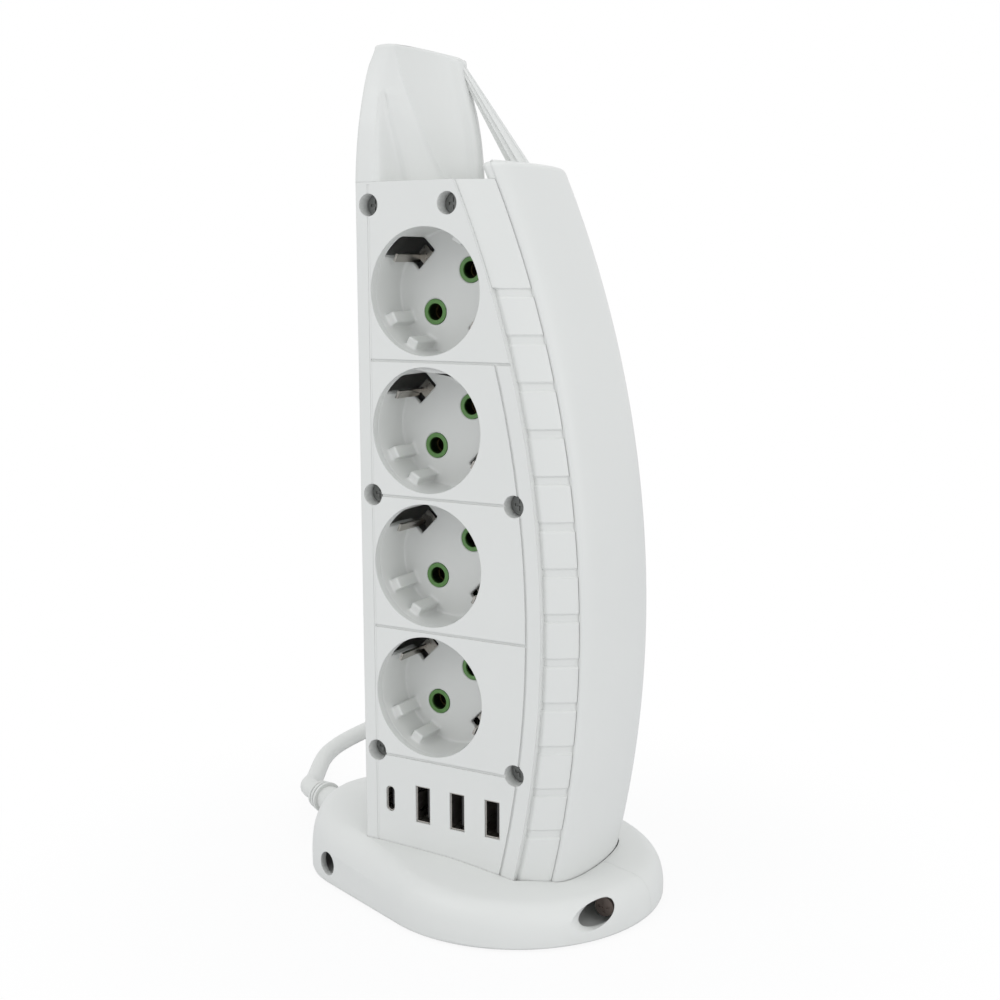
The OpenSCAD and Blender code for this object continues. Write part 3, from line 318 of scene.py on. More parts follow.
# Place, width and power of each lamp
lamps = {
    "keyLamp": ((-0.5, -1.0, 1.0), 0.9, 3.3),
    "fillLamp": ((1.2, -0.5, 0.5), 0.9, 3.0),
    "topLamp": ((0.1, 0.1, 1.4), 0.8, 1.9),
}


def makeFloor():
    half = stage["floor"]
    mesh = bpy.data.meshes.new("floor")
    mesh.from_pydata([(-half, -half, 0), (half, -half, 0), (half, half, 0), (-half, half, 0)], [],
                     [(0, 1, 2, 3)])
    floor = bpy.data.objects.new("floor", mesh)
    show(floor)
    material, tree, shader = startMaterial("paleFloor", stage["rough"])
    shader.inputs["Base Color"].default_value = stage["paint"]
    shader.inputs["Specular IOR Level"].default_value = stage["shine"]
    # seen by the camera, the floor fades into the pale backdrop with its distance
    glow = nodeOf(tree, "ShaderNodeEmission")
    place = nodeOf(tree, "ShaderNodeTexCoord").outputs["Object"]
    away = nodeOf(tree, "ShaderNodeVectorMath", place, operation="LENGTH").outputs["Value"]
    veil = nodeOf(tree, "ShaderNodeMapRange", away, *stage["fade"], interpolation_type="SMOOTHSTEP")
    seen = nodeOf(tree, "ShaderNodeLightPath").outputs["Is Camera Ray"]
    share = nodeOf(tree, "ShaderNodeMath", seen, veil.outputs[0], operation="MULTIPLY")
    mixShaders(tree, share.outputs[0], shader.outputs[0], glow.outputs[0], "Material Output")
    mesh.materials.append(material)


def makeWorld():
    world = bpy.data.worlds.new("studio")
    bpy.context.scene.world = world
    world.use_nodes = True
    tree = world.node_tree
    plain = tree.nodes["Background"]
    plain.inputs["Color"].default_value = stage["sky"]
    plain.inputs["Strength"].default_value = stage["ambient"]
    white = nodeOf(tree, "ShaderNodeBackground", Color=(1, 1, 1, 1), Strength=1.0)
    # the camera and reflections see plain white, all else is lit by the sky's colour
    ray = nodeOf(tree, "ShaderNodeLightPath").outputs
    either = nodeOf(tree, "ShaderNodeMath", ray["Is Camera Ray"], ray["Is Glossy Ray"], operation="MAXIMUM")
    mixShaders(tree, either.outputs[0], plain.outputs[0], white.outputs[0], "World Output")


def softLamp(name, place, size, power):
    data = bpy.data.lights.new(name, "AREA")
    data.shape = "DISK"
    data.size = size
    data.energy = power
    lamp = bpy.data.objects.new(name, data)
    lamp.location = place
    lamp.rotation_euler = (Vector(stage["aim"]) - Vector(place)).to_track_quat("-Z", "Y").to_euler()
    show(lamp)


makeFloor()
makeWorld()
for name, (place, size, power) in lamps.items():
    softLamp(name, place, size, power)
bpy.context.scene.view_settings.view_transform = "Standard"
print("stage lit")

# Shape of the tower in millimetres: the curved side turns about the bow's centre
tower = {
    "bowX": -299.0, "bowZ": 97.0, "faceR": 338.4, "stripR": 348.2, "half": 30.0, "left": -26.9,
    "bulge": 5.5, "bulgeR": 84.57, "sailHalf": 23.0, "sailRise": 7.0, "foot": 6.0, "top": 237.0,
}


def bowEdge(radius, z):
    return tower["bowX"] + math.sqrt(radius ** 2 - (z - tower["bowZ"]) ** 2)


def mix(a, b, t):
    return a + (b - a) * t


def ease(t):
    t = min(1, max(0, t))
    return t * t * (3 - 2 * t)


def quarterTurn(steps, first=1):
    # angles up to a right angle in equal steps
    return [math.pi / 2 * k / steps for k in range(first, steps + 1)]


def through(values, t):
    # a smooth line through evenly numbered values
    last = len(values) - 1
    i = min(int(t), last - 1)
    f = t - i
    a, b, c, d = (values[min(max(i + k, 0), last)] for k in (-1, 0, 1, 2))
    return b + 0.5 * f * (c - a + f * (2 * a - 5 * b + 4 * c - d + f * (3 * (b - c) + d - a)))


def closedLoops(rings, capEnds=True):
    # quads between rings of equal length, and where wanted a centre point at each end
    size = len(rings[0])
    points = [p for ring in rings for p in ring]
    faces = []
    for i in range(len(rings) - 1):
        for j in range(size):
            k = (j + 1) % size
            faces.append((i * size + j, i * size + k, (i + 1) * size + k, (i + 1) * size + j))
    if capEnds:
        for ring, flip in ((0, True), (len(rings) - 1, False)):
            first = ring * size
            middle = sum((Vector(p) for p in rings[ring]), Vector()) / size
            points.append(tuple(middle))
            for j in range(size):
                k = (j + 1) % size
                face = (first + j, first + k, len(points) - 1)
                faces.append(face[::-1] if flip else face)
    return points, faces


# Sizes in millimetres below which points are merged and slivers are dropped
smallest = {"gap": 0.001, "sliver": 0.0005}


def sharpen(mesh, angle):
    mesh.shade_smooth()
    mesh.set_sharp_from_angle(angle=math.radians(angle))


def tidyMesh(mesh, angle):
    work = bmesh.new()
    work.from_mesh(mesh)
    bmesh.ops.remove_doubles(work, verts=work.verts, dist=smallest["gap"] * mm)
    bmesh.ops.dissolve_degenerate(work, edges=work.edges, dist=smallest["sliver"] * mm)
    bmesh.ops.recalc_face_normals(work, faces=work.faces)
    work.to_mesh(mesh)
    work.free()
    sharpen(mesh, angle)


def meshPiece(name, points, faces, angle=30):
    mesh = bpy.data.meshes.new(name)
    mesh.from_pydata([Vector(p) * mm for p in points], [], faces)
    mesh.update()
    piece = bpy.data.objects.new(name, mesh)
    show(piece)
    tidyMesh(mesh, angle)
    return piece


def spanRows(rows, flip=False):
    # faces between neighbouring rows of point numbers, each number once in a face
    faces = []
    for low, high in zip(rows, rows[1:]):
        for j in range(len(low) - 1):
            face = tuple(dict.fromkeys((low[j], low[j + 1], high[j + 1], high[j])))
            if len(face) > 2:
                faces.append(face[::-1] if flip else face)
    return faces


def twinOf(piece, name):
    twin = piece.copy()
    twin.data = piece.data.copy()
    twin.name = twin.data.name = name
    twin.parent = None
    show(twin)
    return twin


def mirrored(piece, name):
    # the rear twin of a front piece
    twin = twinOf(piece, name)
    twin.data.transform(Matrix.Diagonal((1, -1, 1, 1)))
    twin.data.flip_normals()
    return twin


def applied(piece):
    # live modifiers become plain mesh
    graph = bpy.context.evaluated_depsgraph_get()
    mesh = bpy.data.meshes.new_from_object(piece.evaluated_get(graph))
    piece.modifiers.clear()
    piece.data = mesh
    return piece


# Formulas for Geometry Nodes: a term is one socket, and a sum of terms is a new term
class Term:
    def __init__(self, socket):
        self.socket = socket

    def join(self, operation, *others):
        node = nodeOf(self.socket.id_data, "ShaderNodeMath", self, *others, operation=operation)
        return Term(node.outputs[0])

    def __add__(self, other):
        return self.join("ADD", other)

    def __sub__(self, other):
        return self.join("SUBTRACT", other)

    def __mul__(self, other):
        return self.join("MULTIPLY", other)

    def root(self):
        return self.join("SQRT")

    def size(self):
        return self.join("ABSOLUTE")

    def stepUp(self, low, high):
        node = nodeOf(self.socket.id_data, "ShaderNodeMapRange", self, low, high,
                      interpolation_type="SMOOTHSTEP")
        return Term(node.outputs[0])


def startTree(name, sizes):
    # a tree whose inputs carry the names and values of a dictionary, and a material
    tree = bpy.data.node_groups.new(name, "GeometryNodeTree")
    tree.interface.new_socket("Geometry", in_out="OUTPUT", socket_type="NodeSocketGeometry")
    tree.interface.new_socket("Geometry", in_out="INPUT", socket_type="NodeSocketGeometry")
    for key, value in sizes.items():
        kind = "NodeSocketInt" if isinstance(value, int) else "NodeSocketFloat"
        tree.interface.new_socket(key, in_out="INPUT", socket_type=kind)
    tree.interface.new_socket("Material", in_out="INPUT", socket_type="NodeSocketMaterial")
    source = tree.nodes.new("NodeGroupInput")
    sink = tree.nodes.new("NodeGroupOutput")
    given = {key: Term(source.outputs[key]) for key in sizes}
    return tree, source, sink, given


def endTree(tree, source, sink, geometry):
    realize = nodeOf(tree, "GeometryNodeRealizeInstances", geometry)
    paint = nodeOf(tree, "GeometryNodeSetMaterial", realize.outputs[0], Material=source.outputs["Material"])
    feed(paint.outputs[0], sink.inputs[0])


def joined(tree, *parts):
    both = nodeOf(tree, "GeometryNodeJoinGeometry")
    for part in parts:
        feed(part, both.inputs[0])
    return both.outputs[0]


def growFromTree(name, tree, sizes, finish, seedPoints=((0, 0, 0),)):
    mesh = bpy.data.meshes.new(name)
    mesh.from_pydata([Vector(p) * mm for p in seedPoints], [], [])
    piece = bpy.data.objects.new(name, mesh)
    show(piece)
    modifier = piece.modifiers.new("grow", "NODES")
    modifier.node_group = tree
    for item in tree.interface.items_tree:
        if item.item_type == "SOCKET" and item.in_out == "INPUT":
            if item.name in sizes:
                modifier[item.identifier] = sizes[item.name]
            elif item.name == "Material":
                modifier[item.identifier] = finishOf[finish]
    return applied(piece)


# The grooved strip between the face and the sail: plain above the first groove, ribbed below.
# After the tree's inputs come widths of its soft steps, and the shares of a depth inwards and sideways
strip = {
    "inputs": {
        "Inner Radius": 338.5, "Outer Radius": 348.25, "Inner Depth": 29.0, "Outer Depth": 23.0,
        "Low": 6.0, "High": 237.0, "Top Groove": 202.8, "Pitch": 14.2, "Lowest": 30.0,
        "Groove Width": 2.6, "Groove Depth": 0.75, "Edge Round": 0.35, "Side Drop": 1.1,
        "Pillow": 0.35, "Thickness": 1.6, "Rows": 900, "Columns": 26,
    },
    "fade": 0.1, "footFade": 0.5, "sideLeast": 0.1, "sideWide": 0.16, "notchFrom": 0.93,
    "notchWide": 0.05, "notchDeep": 0.25, "inwards": 0.52, "sideways": 0.85, "weld": 0.01, "sharp": 40,
}


def stripTree():
    tree, source, sink, given = startTree("groovedStrip", strip["inputs"])
    grid = nodeOf(tree, "GeometryNodeMeshGrid", Vertices_X=given["Columns"], Vertices_Y=given["Rows"])
    place = nodeOf(tree, "GeometryNodeInputPosition")
    split = nodeOf(tree, "ShaderNodeSeparateXYZ", place.outputs[0])
    across = Term(split.outputs["X"]) + 0.5
    along = Term(split.outputs["Y"]) + 0.5
    z = given["Low"] + along * (given["High"] - given["Low"])
    # distance from the nearest groove, only where the strip is ribbed
    shifted = (given["Top Groove"] - z) + given["Pitch"] * 0.5
    away = (shifted.join("FLOORED_MODULO", given["Pitch"]) - given["Pitch"] * 0.5).size()
    below = (given["Top Groove"] + given["Groove Width"] * 0.5 - z).stepUp(-strip["fade"], strip["fade"])
    above = (z - given["Lowest"]).stepUp(0.0, strip["footFade"])
    groove = given["Groove Width"] * 0.5 + given["Edge Round"] - away
    sunk = groove.stepUp(0.0, given["Edge Round"] * 2.0) * below * above * given["Groove Depth"]
    side = (across * -1.0 + strip["sideWide"]).stepUp(0.0, strip["sideWide"])
    side = (given["Side Drop"] * below + strip["sideLeast"]) * side
    notch = (across - strip["notchFrom"]).stepUp(0.0, strip["notchWide"]) * strip["notchDeep"]
    swell = across * (across * -1.0 + 1.0) * 4.0 * given["Pillow"] * below
    depth = sunk + side + notch - swell
    radius = given["Inner Radius"] + across * (given["Outer Radius"] - given["Inner Radius"])
    radius = radius - depth * strip["inwards"]
    back = given["Inner Depth"] + across * (given["Outer Depth"] - given["Inner Depth"])
    back = back - depth * strip["sideways"]
    rise = z - tower["bowZ"]
    x = (radius * radius - rise * rise).root() + tower["bowX"]
    join = nodeOf(tree, "ShaderNodeCombineXYZ", x * mm, back * -mm, z * mm)
    bend = nodeOf(tree, "GeometryNodeSetPosition", grid.outputs["Mesh"], Position=join.outputs[0])
    # the back and the sides
    thick = nodeOf(tree, "GeometryNodeExtrudeMesh", bend.outputs[0], Individual=False,
                   Offset_Scale=given["Thickness"] * -mm)
    turn = nodeOf(tree, "GeometryNodeFlipFaces", thick.outputs["Mesh"])
    both = joined(tree, turn.outputs[0], bend.outputs[0])
    weld = nodeOf(tree, "GeometryNodeMergeByDistance", both, Distance=strip["weld"] * mm)
    endTree(tree, source, sink, weld.outputs[0])
    return tree


def makeStrips():
    front = growFromTree("ribStripFront", stripTree(), strip["inputs"], "whitePlastic")
    tidyMesh(front.data, strip["sharp"])
    rear = mirrored(front, "ribStripRear")
    settleWhite(front, "rib_strip_front")
    settleWhite(rear, "rib_strip_rear")


makeStrips()
print("strips made")

# The sail: a smooth skin over the curved side, closed on top by a rounded cap
sail = {
    "wall": 2.6, "lip": 5.3, "capWidth": 10.0, "round": 1.7, "crown": 0.6, "corner": 1.8,
    "rows": 72, "steps": 64, "edge": 0.35, "edgeTurn": 0.10, "capSteps": 8,
    "span": (0.25, 0.5, 0.75), "sharp": 35,
}


def sailOutline(z, inset, capped):
    n = sail["steps"]
    loop = []
    for i in range(n + 1):
        a = math.pi * i / n
        nip = sail["edge"] * (1 - ease(min(a, math.pi - a) / sail["edgeTurn"]))
        r = tower["stripR"] + (tower["sailRise"] - inset) * math.sin(a)
        y = -(tower["sailHalf"] - inset - nip) * math.cos(a)
        loop.append((bowEdge(r, z), y, z))
    half = tower["sailHalf"] - inset
    capR = tower["stripR"] + tower["sailRise"] - sail["capWidth"] + inset
    for i in range(n + 1):
        a = math.pi * i / n
        if capped:
            y = half * math.cos(a)
            past = max(0, abs(y) - half + sail["corner"]) / sail["corner"]
            r = capR + sail["corner"] * (1 - math.sqrt(max(0, 1 - past * past)))
        else:
            y = (tower["sailHalf"] - sail["wall"]) * math.cos(a)
            r = tower["stripR"] - sail["wall"] + tower["sailRise"] * math.sin(a)
        loop.append((bowEdge(r, z), y, z))
    return loop


def makeSail():
    top = tower["top"] + sail["lip"]
    rings = []
    for i in range(sail["rows"] + 1):
        z = mix(tower["foot"], tower["top"], i / sail["rows"])
        rings.append(sailOutline(z, 0, False))
    rings.append(sailOutline(tower["top"], 0, True))
    rings.append(sailOutline(top - sail["round"], 0, True))
    for a in quarterTurn(sail["capSteps"]):
        inset = sail["round"] * (1 - math.cos(a))
        z = top - sail["round"] * (1 - math.sin(a))
        rings.append(sailOutline(z, inset, True))
    points, faces = closedLoops(rings, capEnds=False)
    size = len(rings[0])
    # rows of quads from the outer edge to the inner one close the foot and the top
    for ring, lift, flip in ((0, 0, True), (len(rings) - 1, sail["crown"], False)):
        rows = [list(range(ring * size, ring * size + size // 2))]
        far = [ring * size + size - 1 - j for j in range(size // 2)]
        for k in sail["span"]:
            row = []
            for a, b in zip(rows[0], far):
                p = Vector(points[a]).lerp(Vector(points[b]), k)
                points.append((p.x, p.y, p.z + lift * 4 * k * (1 - k)))
                row.append(len(points) - 1)
            rows.append(row)
        rows.append(far)
        faces += spanRows(rows, flip)
        for end in (0, -1):
            faces.append(tuple(row[end] for row in rows))
    settleWhite(meshPiece("sailCover", points, faces, sail["sharp"]), "sail_cover")


makeSail()
print("sail made")

# The crown: two mirrored halves; every list follows its height from foot to tip
crown = {
    "height": 42.7, "fin": 6.0, "nose": 0.68,
    "at": (0, 0.2, 0.42, 0.6, 0.75, 0.88, 1),
    "leftIn": (0, 0.004, 0.013, 0.012, 0.015, 0.046, 0.118),
    "frontIn": (0, 0.017, 0.05, 0.11, 0.167, 0.207, 0.233),
    "valleyIn": (0.36, 0.33, 0.28, 0.21, 0.2, 0.22, 0.24),
    "ridgeX": (0.19, 0.286, 0.375, 0.468, 0.54, 0.59, 0.628),
    "ridgeY": (0.633, 0.533, 0.433, 0.367, 0.32, 0.29, 0.267),
    "finX": (-0.08, -0.066, -0.036, 0.012, 0.072, 0.128, 0.17),
    "swell": (1, 0.97, 0.9, 0.8, 0.66, 0.5, 0.4),
    "fall": 0.0185, "peak": -19.5, "tipRound": 0.9, "rows": 56, "corner": 0.5, "scoop": (5.0, 0.8),
    "notchTip": 0.7, "notchEnd": 0.09, "soft": 5, "softest": 0.55, "softLoss": 0.9, "blend": 0.6,
    "slit": 1.6, "slitWide": (5.2, 2.3), "slitOut": (0.3, 2.2), "slitPower": 0.7,
    "sideSteps": 14, "cornerSteps": 4, "frontSteps": 8, "scoopSteps": 9, "planeSteps": 5, "finSteps": 11,
    "sidePower": 1.2, "notchLeast": 0.02, "scoopMost": 0.6, "noseEdge": 0.05, "noseDrop": 0.08,
    "ridgeBefore": (0.25, 0.02), "ridgeRound": ((0, 0.08), (0.15, 0.35)), "finRoot": 0.3,
    "finBow": (1.15, 1.45), "finTip": ((0.6, 0.36), (0.1, 0.2)),
    "tipSteps": 5, "tipPull": 1.2, "span": (0.25, 0.5, 0.75, 1.0), "sharp": 42,
}


def crownSpot(t):
    # the height share t sits between the listed heights
    for i, (a, b) in enumerate(zip(crown["at"], crown["at"][1:])):
        if t <= b or i == len(crown["at"]) - 2:
            return i + (t - a) / (b - a)


def crownTop(x):
    return tower["top"] + crown["height"] - crown["fall"] * (x - crown["peak"]) ** 2


def crownRing(t):
    s = crownSpot(t)
    left = tower["left"] * (1 - through(crown["leftIn"], s))
    front = -tower["half"] * (1 - through(crown["frontIn"], s))
    ridgeX = tower["left"] * through(crown["ridgeX"], s)
    ridgeY = -tower["half"] * (1 - through(crown["ridgeY"], s))
    finX = tower["left"] * through(crown["finX"], s)
    bulge = tower["bulge"] * through(crown["swell"], s)
    nose = tower["left"] * crown["nose"]
    # the notch beside the nose is deep at the foot and ends at the listed tip
    climb = min(1, t / crown["notchTip"])
    gape = ease((crown["notchTip"] - t) / crown["notchEnd"])
    least = front + crown["notchLeast"]
    valley = max(least, mix(least, -tower["half"] * (1 - through(crown["valleyIn"], s)), gape))
    corner = crown["corner"]
    ring = []
    for a in quarterTurn(crown["sideSteps"], 0):
        ring.append((left - bulge * math.cos(a) ** crown["sidePower"], (front + corner) * math.sin(a)))
    for a in quarterTurn(crown["cornerSteps"]):
        ring.append((left + corner * (1 - math.cos(a)), front + corner * (1 - math.sin(a))))
    first = ring[-1]
    steps = crown["frontSteps"]
    cut = [(mix(left + corner, nose, k / steps), front) for k in range(1, steps + 1)]
    # the notch's side sweeps round into the plane that carries the ridge
    reach = min(mix(*crown["scoop"], climb), (ridgeX - nose) * crown["scoopMost"])
    drop = crown["noseDrop"]
    cut.append((nose + crown["noseEdge"], mix(front, valley, drop)))
    for a in quarterTurn(crown["scoopSteps"]):
        x = nose + crown["noseEdge"] + reach * (1 - math.cos(a))
        cut.append((x, mix(front, valley, mix(drop, 1, math.sin(a)))))
    start = cut[-1]
    beforeX, beforeY = crown["ridgeBefore"]
    for k in range(1, crown["planeSteps"] + 1):
        u = k / crown["planeSteps"]
        cut.append((mix(start[0], ridgeX - beforeX, u), mix(start[1], ridgeY - beforeY, u)))
    # the notch's edge is soft at the foot, crisp at the tip: spots move towards their neighbours
    share = crown["softest"] * (1 - crown["softLoss"] * climb)
    for turn in range(crown["soft"]):
        kept = cut[:]
        for k in range(1, len(cut) - 1):
            cut[k] = tuple(mix(kept[k][c], (kept[k - 1][c] + kept[k + 1][c]) / 2, share) for c in (0, 1))
    # above the notch the front rounds smoothly into that plane
    keep = gape * (1 - crown["blend"] * climb)
    wide = mix(*crown["slitWide"], climb)
    edge = nose - mix(*crown["slitOut"], climb)
    for k, (x, y) in enumerate(cut):
        u = (k + 1) / len(cut)
        bendX = mix(mix(first[0], nose, u), mix(nose, cut[-1][0], u), u)
        bendY = mix(mix(first[1], front, u), mix(front, cut[-1][1], u), u)
        px, py = mix(bendX, x, keep), mix(bendY, y, keep)
        v = min(1, max(0, (px - edge) / wide))
        ring.append((px, py + crown["slit"] * gape * math.sin(math.pi * v ** crown["slitPower"]) ** 2))
    ring += [(ridgeX + over, ridgeY + behind) for over, behind in crown["ridgeRound"]]
    ridge = ring[-1]
    root = finX - crown["fin"] * crown["finRoot"], -crown["fin"] / 2
    bowX, bowY = crown["finBow"]
    for k in range(1, crown["finSteps"]):
        u = k / crown["finSteps"]
        ring.append((mix(ridge[0], root[0], u ** bowX), mix(ridge[1], root[1], 1 - (1 - u) ** bowY)))
    ring.append(root)
    ring += [(finX - short, -crown["fin"] * share) for short, share in crown["finTip"]]
    ring.append((finX, 0))
    return [(x, y, mix(tower["top"], crownTop(x) - crown["tipRound"], t)) for x, y in ring]


def makeCrown():
    rings = [crownRing(i / crown["rows"]) for i in range(crown["rows"] + 1)]
    edge = rings[-1]
    for a in quarterTurn(crown["tipSteps"]):
        pull = crown["tipRound"] * (1 - math.cos(a)) * crown["tipPull"]
        rise = crown["tipRound"] * math.sin(a)
        ring = []
        for i, (x, y, z) in enumerate(edge):
            before, after = Vector(edge[max(i - 1, 0)]), Vector(edge[min(i + 1, len(edge) - 1)])
            along = (after - before).normalized()
            inward = Vector((-along.y, along.x, 0))
            if abs(y) < smallest["gap"]:
                inward = Vector((1 if i == 0 else -1, 0, 0))
            ring.append((x + inward.x * pull, min(0, y + inward.y * pull), z + rise))
        rings.append(ring)
    points, faces = closedLoops(rings, capEnds=False)
    # flat foot, and a top spanned by rows towards the middle plane
    size = len(edge)
    faces.append(tuple(range(size))[::-1])
    last = (len(rings) - 1) * size
    rim = [points[last + j] for j in range(size)]
    left, right = rim[0][0], rim[-1][0]
    rows = [list(range(last, last + size))]
    for k in crown["span"]:
        row = [rows[0][0]]
        for j in range(1, size - 1):
            x, y, z = rim[j]
            home = mix(left, right, j / (size - 1))
            px, py = mix(x, home, k), y * (1 - k)
            points.append((px, py, crownTop(px)))
            row.append(len(points) - 1)
        row.append(rows[0][-1])
        rows.append(row)
    faces += spanRows(rows)
    # the band on the middle plane, from the foot up both ends
    ends = [i * size for i in range(len(rings))]
    back = [i * size + size - 1 for i in range(len(rings))]
    doubled = [{*pair, *above} for pair, above in zip(zip(ends, back), zip(ends[1:], back[1:]))]
    faces = [face for face in faces if set(face) not in doubled]
    faces.append((*ends, *rows[-1][1:-1], *back[::-1]))
    front = meshPiece("crownFront", points, faces, crown["sharp"])
    rear = mirrored(front, "crownRear")
    settleWhite(front, "crown_front")
    settleWhite(rear, "crown_rear")


makeCrown()
print("crown made")

# The strut: slim, ridged, narrower towards the fin's top corner
strut = {
    "footX": 19.8, "footZ": 241.6, "topX": -4.2, "topZ": 274.15, "wide": 7.2, "deep": 5.4,
    "ridges": (0.3, 0.62), "side": 0.4, "tip": 0.4, "rows": 30, "steps": 6, "hollow": 0.2,
    "sharp": 25,
}


def strutRing(t):
    right = mix(strut["footX"], strut["topX"], t)
    size = mix(1, strut["tip"], t)
    wide, deep = strut["wide"] * size, strut["deep"] * size / 2
    low, high = strut["ridges"]
    corners = [(1, -strut["side"]), (1 - low, -1), (1 - high, -1), (0, -strut["side"])]
    half = []
    for (ax, ay), (bx, by) in zip(corners, corners[1:]):
        for k in range(strut["steps"]):
            u = k / strut["steps"]
            sag = strut["hollow"] * 4 * u * (1 - u)
            half.append((right - wide * (1 - mix(ax, bx, u)), deep * (mix(ay, by, u) + sag)))
    half.append((right - wide, -deep * strut["side"]))
    z = mix(strut["footZ"], strut["topZ"], t)
    ring = [(x, y, z) for x, y in half[::-1]]
    return ring + [(x, -y, z) for x, y in half]


def makeStrut():
    points, faces = closedLoops([strutRing(i / strut["rows"]) for i in range(strut["rows"] + 1)])
    settleWhite(meshPiece("crownStrut", points, faces, strut["sharp"]), "crown_strut")


makeStrut()
print("strut made")

# Strain relief: a ringed sleeve, round about its own axis; its outline is pairs of way along and radius
relief = {
    "pivot": (-55.4, 0.0, 14.0), "turn": 22.0, "bore": 3.55, "sides": 64,
    "body": ((1.5, 6.0), (1.7, 6.2), (2.6, 6.2), (2.8, 6.0), (2.8, 5.0), (13.6, 4.75), (15.5, 4.7)),
    "rings": ((15.8, 5.9), (18.0, 5.6), (20.2, 5.3)), "ringLong": 1.3, "soft": 0.35,
    "corner": (0.3, 0.35), "core": 4.55, "taper": 0.05, "drop": 0.05, "neck": 0.1, "sharp": 40,
    "tip": ((21.5, 4.3), (21.5, 3.9), (21.4, 3.55)),
}


def reliefProfile():
    profile = list(relief["body"])
    soft = relief["soft"]
    rise, fall = (soft * share for share in relief["corner"])
    for start, radius in relief["rings"]:
        end = start + relief["ringLong"]
        core = relief["core"] - (start - relief["rings"][0][0]) * relief["taper"]
        profile += [
            (start, core), (start, radius - soft), (start + rise, radius - rise), (start + soft, radius),
            (end - soft, radius - relief["drop"]), (end - rise, radius - fall), (end, radius - soft),
            (end, core - relief["neck"]),
        ]
    foot, width = relief["body"][0]
    return profile + [*relief["tip"], (foot, relief["bore"]), (foot, width)]


def makeRelief():
    turn = math.radians(relief["turn"])
    out = Vector((-math.cos(turn), math.sin(turn), 0))
    side = Vector((math.sin(turn), math.cos(turn), 0))
    rings = []
    for way, radius in reliefProfile():
        ring = []
        for j in range(relief["sides"]):
            a = 2 * math.pi * j / relief["sides"]
            spot = Vector(relief["pivot"]) + out * way + side * radius * math.cos(a)
            ring.append((spot.x, spot.y, spot.z + radius * math.sin(a)))
        rings.append(ring)
    points, faces = closedLoops(rings, capEnds=False)
    piece = meshPiece("strainRelief", points, faces, relief["sharp"])
    settle(piece, "leadJacket", "white_plastic", "strain_relief")


makeRelief()
print("strain relief made")

# Screws: a head with a cross recess at each well, set out by Geometry Nodes
screw = {
    "inputs": {
        "Head Width": 6.4, "Head Height": 2.4, "Shaft Width": 3.0, "Shaft Length": 24.0,
        "Recess Long": 3.8, "Recess Wide": 0.9, "Recess Deep": 0.35, "Sides": 48,
    },
    "face": ((-22.2, -23.2, 229.9), (6.8, -23.2, 229.9), (-22.2, -23.2, 137.75), (30.0, -23.2, 137.75),
             (-22.2, -23.2, 51.5), (30.0, -23.2, 51.5)),
    "base": ((-43.0, -21.1, 7.6), (55.9, -15.1, 8.56)),
    "baseShaft": 25.0, "sharp": 40,
}


def screwTree():
    tree, source, sink, given = startTree("crossScrew", screw["inputs"])

    def moved(mesh, height):
        place = nodeOf(tree, "ShaderNodeCombineXYZ", Z=height)
        shift = nodeOf(tree, "GeometryNodeTransform", Geometry=mesh, Translation=place.outputs[0])
        return shift.outputs[0]

    def rodOf(width, length, lift):
        body = nodeOf(tree, "GeometryNodeMeshCylinder", Vertices=given["Sides"],
                      Radius=width * (0.5 * mm), Depth=length * mm)
        return moved(body.outputs["Mesh"], length * lift * mm)

    def bar(wide, long):
        size = nodeOf(tree, "ShaderNodeCombineXYZ", wide, long, given["Recess Deep"] * (2 * mm))
        box = nodeOf(tree, "GeometryNodeMeshCube", Size=size.outputs[0])
        return moved(box.outputs["Mesh"], given["Head Height"] * -mm)

    head = rodOf(given["Head Width"], given["Head Height"], -0.5)
    arms = (given["Recess Long"] * mm, given["Recess Wide"] * mm)
    for pair in (arms, arms[::-1]):
        cut = nodeOf(tree, "GeometryNodeMeshBoolean", operation="DIFFERENCE", solver="EXACT",
                     Mesh_1=head, Mesh_2=bar(*pair))
        head = cut.outputs["Mesh"]
    shaft = rodOf(given["Shaft Width"], given["Shaft Length"], 0.5)
    lay = nodeOf(tree, "GeometryNodeTransform", Geometry=joined(tree, head, shaft),
                 Rotation=(-math.pi / 2, 0, 0))
    points = nodeOf(tree, "GeometryNodeMeshToPoints", Mesh=source.outputs["Geometry"])
    copies = nodeOf(tree, "GeometryNodeInstanceOnPoints", Points=points.outputs[0], Instance=lay.outputs[0])
    endTree(tree, source, sink, copies.outputs[0])
    return tree


def makeScrews():
    short = screw["inputs"]
    long = dict(short, **{"Shaft Length": screw["baseShaft"]})
    for name, sizes, spots, finish, node in (
        ("faceScrews", short, screw["face"], "darkSteel", "face_screws"),
        ("baseScrews", long, screw["base"], "brownSteel", "base_screws"),
    ):
        piece = growFromTree(name, screwTree(), sizes, finish, spots)
        sharpen(piece.data, screw["sharp"])
        settle(piece, finish, "dark_steel", node)


makeScrews()
print("screws made")

